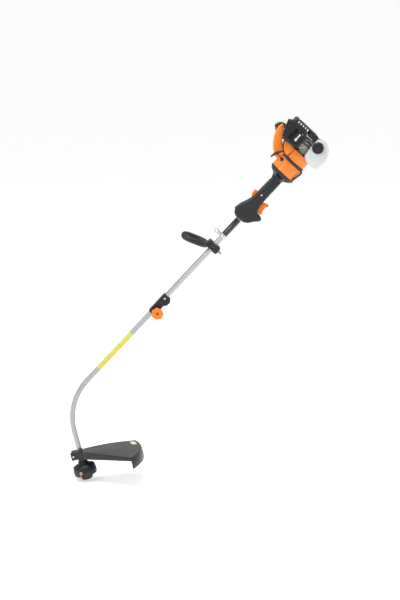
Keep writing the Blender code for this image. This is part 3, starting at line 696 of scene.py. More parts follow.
def add_light(name, place, size, power):
    lamp = in_scene(name, bpy.data.lights.new(name, "AREA"))
    lamp.data.size = size
    lamp.data.energy = power
    lamp.location = place
    lamp.rotation_euler = (AIM - Vector(place)).to_track_quat("-Z", "Y").to_euler()


add_light("overhead", (-0.9, -0.5, 3.2), 2.4, 105)
add_light("front left", (-2.8, -3.0, 1.6), 1.2, 34)
add_light("right rim", (3.0, -0.4, 0.9), 1.2, 16)

sky = bpy.data.worlds.new("studio")
sky.use_nodes = True
sky.node_tree.nodes["Background"].inputs["Color"].default_value = (1.0, 1.0, 1.0, 1.0)
sky.node_tree.nodes["Background"].inputs["Strength"].default_value = 0.5
bpy.context.scene.world = sky
bpy.context.scene.view_settings.view_transform = "Standard"

floor_level = box_at_start[0][2] - 0.002
floor_mesh = bpy.data.meshes.new("floor")
half = 40.0
floor_mesh.from_pydata([(-half, -half, floor_level), (half, -half, floor_level),
                        (half, half, floor_level), (-half, half, floor_level)], [],
                       [(0, 1, 2, 3)])
floor_mesh.materials.append(FLOOR)
floor = in_scene("floor", floor_mesh)


# Shaft

def shaft_line(top, past_bend, steps=40):
    points = [(top, 0.0, 0.0)]
    points += [(top + (BEND_START - top) * i / 10, 0.0, 0.0) for i in range(1, 10)]
    for i in range(steps + 1):
        angle = math.radians(BEND_ANGLE * i / steps)
        points.append((BEND_START - BEND_RADIUS * math.sin(angle), 0.0,
                       -BEND_RADIUS * (1 - math.cos(angle))))
    angle = math.radians(BEND_ANGLE)
    s, _, u = points[-1]
    points.append((s - past_bend * math.cos(angle), 0.0, u - past_bend * math.sin(angle)))
    return points


lower = sweep(shaft_line(LOWER_TUBE_TOP, HEAD_TUBE_END - HEAD_RISE), TUBE, sides=40)
piece("lower_shaft_tube", lower, "frame", GREY_PAINT, "painted_tube", "lower_tube")
upper = lathe([(TUBE, UPPER_TUBE_BOTTOM), (TUBE, UPPER_TUBE_TOP), (9.5, UPPER_TUBE_TOP),
               (9.5, UPPER_TUBE_BOTTOM)], 48, SHAFT, edge=0.5, hollow=True)
piece("upper_shaft_tube", upper, "frame", DRAWN_TUBE, "bright_tube", "upper_tube")


def wrap(first, last, low, high, skin=0.35):
    """A thin sheet round part of the shaft, between two angles from straight up."""
    outer = arc(TUBE + skin, low, high, 24)
    inner = arc(TUBE + 0.05, high, low, 24)
    form = plate(outer + inner, first, last, SHAFT @ turned(90, "Z"), 0.0)
    return cleaned(form)


labels = merged(wrap(-753, -689, 100, 262), wrap(-687.5, -620, 100, 262),
                wrap(-618.5, -551, 100, 262))
piece("shaft_labels", labels, "frame", YELLOW, "painted_tube", smooth=50)

sleeve = lathe([(12.9, 10), (12.9, 95), (TUBE + 0.4, 95), (TUBE + 0.4, 10)], 48, SHAFT,
               edge=0.9, hollow=True)
piece("shaft_sleeve", sleeve, "frame", RUBBER, "rubber", "rubber_sleeve")

# Harness bracket: a folded strap with an eyelet, pinched by a screw

strap = lathe([(14.2, -5), (14.2, 9), (TUBE + 0.4, 9), (TUBE + 0.4, -5)], 48, SHAFT,
              edge=0.6, hollow=True)
lug_outline = softened([(-6, 12.6)] + [(x, EYELET_UP + z) for x, z in arc(9.5, 190, -10, 24)]
                       + [(6, 12.6)], 0.4, 2)
lug = side_plate(lug_outline, -2, 2, TOOL, 0.5)
bracket = as_object("harness_clip", strap)
cut_by(bracket, rod(5.5, -9, 9, 32, TOOL @ moved(0, 0, 60) @ LEFT))
bracket_lug = as_object("lug", lug)
cut_by(bracket_lug, rod(5.5, -9, 9, 40, EYELET))
both = merged(from_object(bracket, Matrix()), from_object(bracket_lug, Matrix()),
              collar(5.6, 7.6, -2.4, 2.4, 40, EYELET, 0.9))
piece("harness_clip", both, "frame", ZINC, "steel", "harness_bracket")
screws("harness_clip_screw", [(TOOL, (2, -1.8, 19), (0, -1, 0))], "frame", ZINC, 2.6, 2.0, 1.3)

# Coupler: a moulded clamp that joins the two tubes

coupler_outline = softened([(-432, 12), (-428, 14.3), (-339, 14.6), (-335, 11), (-336.5, -20, 9),
                            (-349, -28.5, 9), (-366, -27, 8), (-376, -18, 7), (-396, -18, 7),
                            (-405, -27.5, 5), (-424, -27.5, 5), (-432, -18)], 3.0, 5)
coupler = as_object("coupler_clamp", side_plate(coupler_outline, -17, 17, TOOL, 3.2, 4))
cuts = [rod(BORE, -445, -325, 40, SHAFT), rod(5, 0, 30, 24, TOOL @ moved(BUTTON_PLACE)),
        rod(3.4, -30, 30, 24, KNOB)]
moulding("coupler_clamp", coupler, "coupler_body", cuts=cuts)
coupler_rib = brick((1.8, 1.6, 20), (0, 0, 0), Matrix(), 0.6)
moulding("coupler_ribs",
         repeated(coupler_rib, 5, step=(9, 0, 0), matrix=TOOL @ moved(-400, -17.2, 0)))
screws("coupler_screws", [(TOOL, (-349, -17, 0), (0, -1, 0)), (TOOL, (-349, 17, 0), (0, 1, 0))],
       "frame", BRIGHT, 3.6, 2.2, 1.7)
piece("lock_button", rod(4.5, 8, 16.5, 32, TOOL @ moved(BUTTON_PLACE), edge=1.4), "button", ZINC,
      "steel", "release_button")

# Star knob

knob_edge = []
for i in range(168):
    angle = 2 * math.pi * i / 168
    reach = 20.6 + 4.4 * math.sqrt(abs(math.cos(3.5 * angle)))
    knob_edge.append((reach * math.cos(angle), reach * math.sin(angle)))
knob = as_object("clamp_knob", plate(knob_edge, 30, 42, KNOB, 2.6, 5))
cut_by(knob, lathe([(0, 37.5), (4, 37.5), (15, 41), (16, 44), (0, 44)], 56, KNOB, edge=0.8))
knob_form = merged(from_object(knob, Matrix()), rod(10, 18.6, 31, 40, KNOB, edge=0.8),
                   lathe([(0, 36), (8.0, 36), (7.4, 40.8), (0, 40.8)], 40, KNOB, edge=0.9),
                   rod(3, -15.5, 20, 24, KNOB, edge=0.4))
piece("clamp_knob", knob_form, "coupler_knob", ORANGE_LIGHT, "orange_plastic", "star_knob")
screws("clamp_knob_nut", [(KNOB, (0, 0, 40.4), (0, 0, 1))], "coupler_knob", DARK_RED_BROWN, 4.3, 1.4, 2.6)

# Loop handle: a closed hoop with a ribbed grip

def hoop_path(half, low, high, corner, steps):
    points = []
    side = half - corner
    for across, up, first in ((side, high - corner, 0), (-side, high - corner, 90),
                              (-side, low + corner, 180), (side, low + corner, 270)):
        points += [(0.0, y, z) for y, z in arc(corner, first, first + 90, steps, (across, up))]
    return points


hoop_line = hoop_path(48, 31, 126, 36, 14)
hoop = as_object("front_hoop", sweep(hoop_line, 12, LOOP, 40, closed=True))
saddle = as_object("saddle", brick((30, 54, 29.6), (LOOP_PLACE, 0, 15.2), TOOL, 4, 4))


def joined(obj, *others):
    """The union of overlapping shapes, as one skin."""
    for other in others:
        modified(obj, "BOOLEAN", operation="UNION", solver="EXACT", object=other)
        bpy.data.objects.remove(other)
    if not obj.data.polygons:
        raise RuntimeError("a union lost " + obj.name)
    return obj


joined(hoop, saddle)


def hoop_cuts():
    """The two bolt holes and the hole for the shaft, in both halves of the clamp."""
    return [*(rod(3.1, -40, 29, 24, TOOL @ moved(LOOP_PLACE, y)) for y in (-20, 20)),
            rod(BORE, -140, 20, 40, SHAFT)]


piece("front_hoop", hoop, "front_handle", GRIP, "grip", "loop_handle", smooth=40,
      cuts=hoop_cuts())
grip_line = [point for point in hoop_line if point[2] > 96]
rings_along("hoop_ribs", grip_line, 22, 11.9, 0.9, "front_handle", GRIP, "grip", LOOP)
clamp_cap = as_object("hoop_clamp", brick((32, 54, 27.2), (LOOP_PLACE, 0, -14), TOOL, 6, 4))
piece("hoop_clamp", clamp_cap, "front_handle", BLACK, "black_plastic", "loop_clamp_cap",
      cuts=hoop_cuts())
screws("hoop_screws", [(TOOL, (LOOP_PLACE, y, -27.6), (0, 0, -1)) for y in (-20, 20)],
       "front_handle", ZINC, 5.2, 5.0, 2.6)


# Rear handle: two moulded halves round the shaft, with the trigger between them

HANDLE = [(97, 16), (103, 33), (118, 41), (134, 42.5), (150, 39.5), (171, 31), (190, 25),
          (208, 21), (250, 20), (300, 18.5), (317.5, 19), (317.5, -24), (299, -23), (260, -23),
          (217, -24.5), (190, -26), (167, -34), (164.5, -52), (161, -64), (153, -69),
          (145, -65.5), (131, -51), (109, -36), (99, -19)]


def handle_half(name, side):
    """One half of the grip: a rounded plate, melted a little so that its faces flow together."""
    outline = softened(HANDLE, 7, 4)
    half = as_object(name, side_plate(outline, -22, 22, TOOL, 8, 4))
    modified(half, "REMESH", mode="VOXEL", voxel_size=1.5 * MM)
    modified(half, "SMOOTH", factor=0.5, iterations=40)
    return cut_by(
        half, brick((340, 80.4, 260), (210, 40 * side, 0), TOOL, 0),
        rod(BORE, 80, 340, 40, SHAFT),
        side_plate([(166, -12.6), (229, -12.6), (229, -80), (166, -80)], -6.3, 6.3),
        side_plate([(197, 12.6), (237, 12.6), (237, 48), (197, 48)], -5, 5),
        brick((26, 10, 14), (130, 0, 41), TOOL, 0),
        rod(4.6, 13, 40, 28, TOOL @ moved(232, 0, 2) @ LEFT))


left_half = handle_half("grip_left", 1)
right_half = handle_half("grip_right", -1)
piece("grip_left", left_half, "frame", GRIP, "grip", "handle_shell_left", smooth=35)
piece("grip_right", right_half, "frame", GRIP, "grip", "handle_shell_right", smooth=35)

rib_round = hoop_path(21.6, -23.4, 20.6, 11, 10)
grip_rib = sweep(rib_round, 1.7, Matrix(), 12, closed=True)
piece("grip_ribs", repeated(grip_rib, 5, step=(12.5, 0, 0), matrix=TOOL @ moved(247)),
      "frame", GRIP, "grip")
neck = lathe([(21, 301), (23.5, 318), (12, 318), (12, 301)], 48, TOOL @ moved(u=-2) @ ALONG,
             edge=2.5, hollow=True)
piece("grip_neck", neck, "frame", BLACK, "grip")
screws("grip_screw", [(TOOL, (232, -21.0, 2), (0, -1, 0))], "frame", BRIGHT, 3.4, 2.4, 1.7,
       replaces="handle_screw")
screws("grip_screws_small", [(TOOL, (s, -21.0, u), (0, -1, 0)) for s, u in
                             ((150, 20), (150, -44), (306, -12))], "frame", BLACK, 3.0, 1.6, 1.5)

trigger_outline = softened([(170, -16), (182, -15.5), (206, -21), (214, -28), (221, -50),
                            (214.5, -53.5), (203, -47, 9), (186, -48.5, 9), (170, -55, 2),
                            (168.5, -44), (168, -30)], 3.5, 5)
piece("throttle_blade", side_plate(trigger_outline, -5.5, 5.5, TOOL, 1.8, 4), "trigger",
      ORANGE_LIGHT, "orange_plastic", "throttle_trigger")
lever_outline = softened([(201, 26), (208, 33), (228, 36.5), (233, 28), (231, 14.5), (223, 14),
                          (208, 20)], 2.0, 5)
piece("lock_out_blade", side_plate(lever_outline, -4, 4, TOOL, 1.2, 4), "lock_out",
      ORANGE_LIGHT, "orange_plastic", "lock_out_lever")
slider = as_object("stop_slider", brick((15, 8.6, 8), (125, 0, 41), TOOL, 1.2))
notch = repeated(brick((1.4, 12, 2.4), (0, 0, 0), Matrix(), 0), 4, step=(3, 0, 0),
                 matrix=TOOL @ moved(120.5, 0, 45))
piece("stop_slider", slider, "switch", BLACK, "black_plastic", "stop_switch", cuts=[notch])

# Cutting head

hub_outline = [(17, -106), (17.6, -118), (17.6, -135.5), (6.3, -135.5), (6.3, -118.4),
               (BORE, -118.4), (BORE, -106)]
moulding("head_bearing", lathe(hub_outline, 48, HEAD, edge=1.0, hollow=True), "bearing_housing")
shell = [(20, -138), (22, -147, 3), (33, -150.5), (46, -158, 8), (49.5, -178), (47, -195.8, 3),
         (42, -196), (45.5, -185), (44, -164), (38, -157), (20, -151), (5.3, -151), (5.3, -138)]
drum = as_object("line_drum", lathe(shell, 72, HEAD, edge=2.0, hollow=True))
scoops = []
for i in range(5):
    around = HEAD @ turned(72 * i + 36, "Z") @ moved(55.5, 0, -140) @ turned(-14, "Y")
    scoops.append(lathe([(0, -70), (10.5, -70), (12.5, 20), (0, 20)], 32, around))
eyelet_ways = HEAD @ turned(LINE_TURN, "Z") @ moved(0, 0, -178) @ LEFT
exits = rod(3.0, -60, 60, 24, eyelet_ways)
piece("line_drum", drum, "cutting_head", BLACK, "black_plastic", "head_housing",
      cuts=scoops + [exits])
eyelets = merged(*[lathe([(3.3, 46.5), (5.4, 46.5), (6.2, 49.6), (5.4, 51.2), (3.3, 51.2),
                          (2.6, 49)], 32, eyelet_ways @ flip, edge=0.5, hollow=True)
                   for flip in (Matrix(), turned(180, "X"))])
piece("line_eyelets", eyelets, "cutting_head", ZINC, "black_plastic")
drum_rib = side_plate(softened([(26, -148), (45, -156), (48, -163), (44, -163), (30, -153)], 1, 3),
                      -1.4, 1.4, Matrix(), 0.5)
piece("drum_ribs", repeated(drum_rib, 10, turn=(0, 0, 36), matrix=HEAD), "cutting_head", BLACK,
      "black_plastic")

knob_profile = [(0, -198), (8, -198), (8, -194.4), (30, -194.4), (30, -198.5, 2), (26.5, -200.5),
                (25.5, -210, 4), (21, -216, 3), (0, -216)]
tap = as_object("tap_button", lathe(knob_profile, 72, HEAD, edge=1.2))
flute = rod(4.2, -220, -200, 20, moved(28.6))
flutes = repeated(flute, 12, turn=(0, 0, 30), matrix=HEAD)
piece("tap_button", tap, "line_spool", BLACK, "black_plastic", "tap_knob", cuts=[flutes])

# The cut line: two stiff nylon ends

LINE_ROUTE = [(0, -51, -178), (0, -54, -178), (0, -58, -179), (0.5, -61, -182),
              (1.5, -62.5, -187), (3, -62.5, -193), (5, -61.5, -200), (7, -60, -207)]


def cord(name, matrix, route, replaced):
    points = spline(route, 4)
    form = sweep(points, 1.2, matrix, 14, dome=2)
    obj = piece(name, form, "cutting_head", NYLON_LINE, "line", replaced)


cord("line_end_left", HEAD @ turned(LINE_TURN, "Z"), LINE_ROUTE, "cutting_line_left")
cord("line_end_right", HEAD @ turned(LINE_TURN + 180, "Z"), LINE_ROUTE, "cutting_line_right")

# Guard: a curved shield with a turned-down lip and a stiff edge

GUARD_NEAR, GUARD_FAR = 32.0, 27.0


def guard_point(along, across):
    widest = GUARD_NEAR if across < 0 else GUARD_FAR
    angle = math.radians(widest * across)
    near = (14.0, 26.0 * across)
    far = (GUARD_REACH * math.cos(angle), GUARD_REACH * math.sin(angle))
    x = near[0] + (far[0] - near[0]) * along
    y = near[1] + (far[1] - near[1]) * along
    crown = 5.0 * math.sin(math.pi * along) * (1 if across > 0 else 1 - across * across)
    sag = 3.0 * along * across * across if across < 0 else 0.0
    return x, y, -(94.0 + 0.2 * x) - sag + crown


def guard_shell():
    rows, columns = 30, 40
    grid = []
    for i in range(rows + 1):
        line = [guard_point(i / rows, 2 * j / columns - 1) for j in range(columns + 1)]
        sides = []
        for x, y, z in (line[0], line[-1]):
            wall = -(126.0 + 0.125 * x)
            drop = z - wall
            sides.append([(x, y * (1.0 + 0.012 * math.sin(math.pi * k / 5)), z - drop * k / 5)
                          for k in range(1, 6)])
        grid.append(sides[0][::-1] + line + sides[1])
    last = grid[-1]
    for k in range(1, 9):
        t = k / 8
        row = []
        for x, y, z in last:
            swell = 1.0 + 0.008 * math.sin(math.pi * t)
            row.append((x * swell, y * swell, z + (-186.0 - z) * t))
        grid.append(row)
    form = bmesh.new()
    verts = [[form.verts.new(point) for point in row] for row in grid]
    for i in range(len(verts) - 1):
        for j in range(len(verts[i]) - 1):
            form.faces.new((verts[i][j], verts[i + 1][j], verts[i + 1][j + 1], verts[i][j + 1]))
    bmesh.ops.remove_doubles(form, verts=form.verts, dist=0.01)
    bmesh.ops.recalc_face_normals(form, faces=form.faces)
    return placed(form, HEAD)


shield = as_object("grass_guard", guard_shell())
modified(shield, "BEVEL", width=4.0 * MM, segments=4, limit_method="ANGLE",
         angle_limit=math.radians(45))
modified(shield, "SOLIDIFY", thickness=2.5 * MM, offset=-1.0)
piece("grass_guard", shield, "frame", GUARD_LIT_TOP_FINISH, "black_plastic", "guard", smooth=40)
# Painted shade: the guard's steep walls get the darker black, while the top faces keep the lighter,
# painted-lit guard finish.
shield.data.materials.append(BLACK)
for face in shield.data.polygons:
    if abs(face.normal.z) < 0.55:
        face.material_index = 1


# Engine: the bell-shaped clutch housing

bell_profile = [(CASING, 357), (CASING, 350, 3), (49, 342), (33, 333, 8), (25, 325, 5),
                (23.5, 318, 2), (11.8, 318), (11.8, 326), (22, 331), (41, 343), (52, 351),
                (52, 357)]
bell = as_object("clutch_bell", lathe(bell_profile, 96, SHAFT, edge=1.4, hollow=True))
port_cuts = []
for i in range(6):
    around = SHAFT @ turned(60 * i + 15, "Z") @ moved(42.5, 0, 341) @ turned(38, "Y")
    port = softened([(-4.5, -8), (4.5, -11), (4.5, 11), (-4.5, 8)], 2.4, 4)
    port_cuts.append(plate(port, -6, 6, around, 0))
moulding("clutch_bell", bell, "clutch_housing", cuts=port_cuts)
flange = collar(CASING - 2, CASING + 1.2, 352.5, 357.2, 96, SHAFT, 0.8)
moulding("bell_flange", flange)
screws("bell_screws", [(SHAFT @ turned(90 * i + 45, "Z"), (CASING - 5, 0, 352), (0.3, 0, -1))
                       for i in range(4)], "frame", ZINC, 3.4, 2.6, 1.7)

# Starter housing: a ring with an air scoop that rises past the cylinder

ring_profile = [(CASING, STARTER_BACK), (CASING, 357.3), (52, 357.3), (52, 405.5), (10, 405.5),
                (10, STARTER_BACK)]
starter = as_object("starter_cowl", lathe(ring_profile, 96, SHAFT, edge=1.6, hollow=True))
SCOOP = [(383, 40), (384, 73, 8), (405, 101), (427, 119), (449, 132), (465, 139), (484, 143, 5),
         (502, 139, 4), (502, 130), (480, 113), (452, 93), (436, 76), (430, 40)]
scoop = as_object("scoop", side_plate(softened(SCOOP, 12, 6), -28, 28, TOOL, 6, 4))
cut_by(scoop,
       side_plate(softened([(390, 20), (391, 72), (411, 97), (431, 114), (453, 127), (468, 133),
                            (520, 139), (520, 112), (484, 107), (455, 88), (442, 70), (440, 20)],
                           8, 4), -25, 25, TOOL, 0), rod(52.5, 340, 407, 64, SHAFT),
       rod(CASING + 0.3, 408, 540, 64, FAN))
joined(starter, scoop)
piece("starter_cowl", starter, "frame", ORANGE, "orange_plastic", "starter_housing",
      cuts=[rod(4.2, -24, 8, 28, PULL)])
rib = sweep([(0, CASING - 0.4, 0), (40, CASING - 0.4, 0)], 1.5, Matrix(), 10, dome=2)
piece("cowl_ribs", repeated(placed(rib, turned(-90, "Y")), 16, turn=(0, 0, 22.5),
                            matrix=TOOL @ moved(363) @ ALONG), "frame", ORANGE, "orange_plastic")
# Painted shade: the rope guide's dark red-brown stands for the shade inside the rope hole.
guide = lathe([(4.4, -2.5), (8.6, -2.5), (8.6, 0.5, 1), (6.6, 3.4, 1), (3.2, 3.4), (2.8, 1)], 48,
              PULL, edge=0.7, hollow=True)
piece("rope_guide", guide, "frame", DARK_RED_BROWN, "black_plastic")
rope = as_object("pull_rope", sweep([(0, 0, z) for z in range(-10, 41, 2)], 1.7, PULL, 16))
strands = sweep([(1.1 * math.cos(0.9 * i), 1.1 * math.sin(0.9 * i), 1.2 * i - 8)
                 for i in range(40)], 0.85, PULL, 8)
rope_ends = [tuple(PULL @ Vector((0, 0, z)) * MM) for z in (0, 39)]
piece("rope_strand", strands, "pull_handle", ROPE, "rope", stretch=rope_ends)
piece("pull_rope", rope, "pull_handle", ROPE, "rope", "starter_rope", stretch=rope_ends)
GRIP_FRAME = PULL @ turned(-20, "Z")
grip_path = spline([(6.5 * i, 0, PULL_STANDOFF - 0.3 * i * i) for i in range(-4, 5)], 6)
handle = as_object("pull_grip", sweep(grip_path, lambda way: 4.6 + 1.3 * math.cos(
    2 * math.pi * (way - 0.5)) + 0.8 * (abs(way - 0.5) > 0.46), GRIP_FRAME, 32, dome=5))
stem = as_object("stem", lathe([(0, PULL_STANDOFF - 12), (3.4, PULL_STANDOFF - 12, 1),
                                (4.4, PULL_STANDOFF), (0, PULL_STANDOFF)], 32, PULL, edge=0.5))
joined(handle, stem)
piece("pull_grip", handle, "pull_handle", BLACK, "black_plastic", "starter_handle", smooth=50)

# The seam between the two housings, and the fan housing behind it

# Painted shade: a dark red-brown band set into the groove between the two housings stands for the
# shade in that groove.
seam = collar(CASING - 3, CASING - 0.6, 408.6, 421, 96, TOOL @ moved(u=2) @ ALONG, 0.5)
piece("housing_seam", seam, "frame", DARK_RED_BROWN, "black_plastic")
fan_profile = [(CASING, FAN_BACK), (CASING, 420.5), (12, 420.5), (12, 423.5), (52, 423.5),
               (52, FAN_BACK)]
fan = as_object("fan_cowl", lathe(fan_profile, 96, FAN, edge=1.6,
                                  hollow=True))
shoulder = [(421, 40), (421, 58), (431, 70, 8), (450, 84, 6), (463, 86, 4), (466, 70), (462, 40)]
piece("cowl_wing", side_plate(softened(shoulder, 5, 5), -58, -34.5, TOOL, 5, 4), "frame", ORANGE,
      "orange_plastic")
piece("fan_cowl", fan, "frame", ORANGE, "orange_plastic", "fan_housing")

# Crankcase and cylinder

case_profile = [(31, 529), (31, 424.5), (6.8, 424.5), (6.8, 484), (24, 484), (24, 514), (6.8, 514),
                (6.8, 529)]
case = as_object("crank_case", lathe(case_profile, 72, SHAFT, edge=1.5, hollow=True))
deck = as_object("deck", brick((52, 56, 24), (CYLINDER_PLACE, 0, 21), TOOL, 3, 3))
foot = as_object("foot", brick((40, 64, 12), (CYLINDER_PLACE, 0, 12), TOOL, 3, 3))
joined(case, deck, foot)
case_cuts = [rod(24, 484, 514, 48, SHAFT), rod(17.3, 0, 50, 48, TOOL @ moved(CYLINDER_PLACE))]
piece("crank_case", case, "frame", CAST, "cast_metal", "crankcase", cuts=case_cuts)
screws("case_screws", [(TOOL, (CYLINDER_PLACE + s, -28.0, 21), (0, -1, 0)) for s in (-19, 19)]
       + [(TOOL, (CYLINDER_PLACE + s, -32.0, 12), (0, -1, 0)) for s in (-9, 9)]
       + [(TOOL, (CYLINDER_PLACE + s, 28.0, 21), (0, 1, 0)) for s in (-19, 19)],
       "frame", ZINC, 3.8, 3.2, 2.0)

CYLINDER = TOOL @ moved(CYLINDER_PLACE)
barrel = [(14, 105), (20, 105), (20, 33), (17, 33), (17, 97), (6.3, 97), (6.3, 105)]
piece("cylinder_barrel", lathe(barrel, 64, CYLINDER, edge=0.8, hollow=True), "frame", CAST,
      "cast_metal", "cylinder")
fin_outline = softened([(-33, -31), (33, -31), (33, 31), (-33, 31)], 14, 8)
fin = as_object("fin", plate(fin_outline, -1.2, 1.2, Matrix(), 0.6, 2))
cut_by(fin, rod(19.6, -4, 4, 48, Matrix()))
fins = repeated(from_object(fin, Matrix()), 8, step=(0, 0, 8), matrix=CYLINDER @ moved(u=40))
piece("cylinder_fins", fins, "frame", CAST, "cast_metal")
plug_line = spline([(0, 0, 112), (0, 0, 126), (-2, 0, 138), (-10, 0, 146), (-22, 0, 149)], 8)
boot = sweep(plug_line, lambda way: 9.2 - 1.6 * way, CYLINDER, 32, dome=4)
piece("plug_boot", boot, "frame", RUBBER, "rubber", "plug_boot", smooth=60)
rings_along("boot_ribs", plug_line[22:], 4, 8.4, 1.0, "frame", RUBBER, "rubber", CYLINDER)
lead_line = spline([(453.5, 0, 73), (457, 0, 76), (459, 0, 84), (459, 0, 100), (460, 0, 118),
                    (463, 0, 134), (469, 0, 145), (478, 0, 149)], 8)
piece("plug_lead", sweep(lead_line, 3.0, TOOL, 18), "frame", RUBBER, "rubber", "ignition_lead",
      smooth=60)

# Back of the fan housing

back_rim = collar(49, CASING - 1.6, FAN_BACK - 3, FAN_BACK + 2.4, 96, FAN, 0.8)
moulding("fan_rim", back_rim)
backing = collar(31.5, 50, 455, 458.5, 96, FAN, 0.6)
moulding("fan_backing", backing)

# Throttle conduit: a ribbed tube laid along the seam

CONDUIT = [(362, -40, -45), (374, -39, -47), (388, -38, -50), (401, -37.5, -52),
           (410.5, -40, -49), (414.5, -47, -36), (414.7, -54, -16), (414.7, -56.5, 6),
           (415.5, -56, 28), (420, -54, 50), (430, -52, 68), (444, -51, 82), (460, -50, 88),
           (477, -49, 78)]
conduit_line = spline(CONDUIT, 8)
piece("throttle_conduit", sweep(conduit_line, 4.0, TOOL, 24, dome=3), "frame", RUBBER, "rubber",
      "throttle_cable", smooth=60)
rings_along("conduit_folds", conduit_line, 74, 4.05, 0.55, "frame", RUBBER, "rubber")

# Air cleaner: a deep cover with a pocket in its face, louvres and the choke lever

CLEANER = [(465, 52), (474, 32), (526, 35), (549, 54), (546, 110), (536, 135), (503, 122),
           (467, 106)]
cover = as_object("cleaner_cover", side_plate(softened(CLEANER, 7, 6), -88, -60, TOOL, 4.5, 5))
pocket = side_plate(softened([(477, 62), (484, 46), (519, 48), (536, 62), (534, 92), (523, 103),
                              (494, 97), (478, 90)], 5, 5), -95, -83.5, TOOL, 0)
hollow = side_plate(softened([(468, 52), (476, 35), (525, 38), (546, 56), (543, 109),
                              (534, 131), (503, 119), (470, 104)], 5, 4), -80, -50, TOOL, 0)
louvre = brick((5.4, 12, 19), (0, 0, 0), turned(-14, "Y"), 0)
louvres = repeated(louvre, 3, step=(9.5, 0, 0), matrix=TOOL @ moved(486, -83, 86))
window = side_plate(softened([(510, 82), (512, 92), (528, 95), (530, 80), (520, 76)], 2.5, 4),
                    -86, -78, TOOL, 0)
moulding("cleaner_cover", cover, "air_cleaner_cover", cuts=[pocket, hollow, louvres, window])
rim_line = [(s, -88.0, u) for s, u in softened(inset(softened(CLEANER, 7, 6), 3.5), 0, 1)]
moulding("cleaner_rim", sweep(rim_line, 1.1, TOOL, 10, closed=True))
strip = side_plate(softened([(468, 107.5), (503, 123.5), (535, 136.5), (536, 139), (503, 128),
                             (466, 111)], 1.0, 3), -84, -46, TOOL, 1.0)
piece("cleaner_lid", strip, "frame", GRIP, "black_plastic")
base = side_plate(softened([(467, 50), (476, 31), (527, 34), (551, 53), (548, 111), (537, 136),
                            (502, 123), (466, 107)], 6, 5), -59.5, -53, TOOL, 1.2)
moulding("cleaner_base", base)
bars = repeated(brick((34, 1.8, 1.8), (0, 0, 0), Matrix(), 0.5), 4, step=(0, 0, 5.2),
                matrix=TOOL @ moved(504, -84, 50.5))
moulding("cleaner_bars", bars)
screws("cleaner_screws", [(TOOL, (s, -83.5, u), (0, -1, 0)) for s, u in ((482, 98), (528, 55))],
       "frame", ZINC, 3.0, 2.2, 1.5)
latch = side_plate(softened([(540, 60), (551, 62), (551, 86), (546, 92), (541, 86)], 2, 4),
                   -84, -72, TOOL, 1.4)
piece("cleaner_latch", latch, "frame", GRIP, "black_plastic")
filter_pad = side_plate(softened(inset(CLEANER, 7), 4, 4), -76, -58.5, TOOL, 2)
piece("filter_pad", filter_pad, "frame", FOAM, "foam", "air_filter")

lever = side_plate(softened([(488.5, 60), (492, 58.6), (500, 61), (518, 61.4), (522, 62.4),
                             (522, 66.2), (518, 67), (500, 66.8), (492, 68.4), (488.5, 67)],
                            2.0, 5), -91.6, -88.9, TOOL, 0.8, 4)
boss = lathe([(0, 84), (4.2, 84), (4.2, 91.2), (3.2, 92.4), (0, 92.4)], 32,
             TOOL @ moved(494, 0, 64) @ LEFT, edge=0.4)
tab = brick((3.4, 5.5, 7.5), (519.5, -91.3, 64.3), TOOL, 1.2)
piece("choke_blade", merged(lever, boss, tab), "choke", BRIGHT, "bright_lever", "choke_lever")

# Exhaust guard on the other side

shield_box = as_object("exhaust_shield", brick((70, 44, 76), (CYLINDER_PLACE, 66, 70), TOOL, 7, 4))
slats = repeated(brick((46, 30, 4.2), (0, 0, 0), Matrix(), 0), 6, step=(0, 0, 9),
                 matrix=TOOL @ moved(CYLINDER_PLACE, 84, 47))
moulding("exhaust_shield", shield_box, "muffler_guard",
         cuts=[brick((64, 44, 70), (CYLINDER_PLACE, 62.5, 70), TOOL, 4), slats])
silencer = brick((54, 30, 60), (CYLINDER_PLACE, 59, 70), TOOL, 6, 4)
piece("silencer", silencer, "frame", SOOT, "steel", "muffler")
screws("exhaust_screws", [(TOOL, (CYLINDER_PLACE + s, 88, 70 + u), (0, 1, 0))
                          for s in (-27, 27) for u in (-29, 29)], "frame", ZINC, 3.4, 2.4, 1.7)

# Rear cover with through vents

rear = as_object("rear_shroud", brick((28, 88, 122), (546, 0, 53), TOOL, 8.5, 6))
vents = repeated(brick((19, 130, 7.8), (0, 0, 0), Matrix(), 1.4), 6, step=(0, 0, -12),
                 matrix=TOOL @ moved(547, 0, 98))
moulding("rear_shroud", rear, "rear_cover",
         cuts=[brick((54, 82, 116), (530, 0, 53), TOOL, 6), vents])
frame_line = [(s, -44.2, u) for s, u in softened([(536, -2), (556, -2), (556, 108), (536, 108)],
                                                 6, 5)]
moulding("rear_bead", sweep(frame_line, 1.0, TOOL, 10, closed=True))
screws("rear_screws", [(TOOL, (560, y, u), (1, 0, 0)) for y in (-32, 32) for u in (8, 100)],
       "frame", ZINC, 3.4, 2.2, 1.7)

# Seam, cap and hoses of the fuel tank, whose body is the solid itself

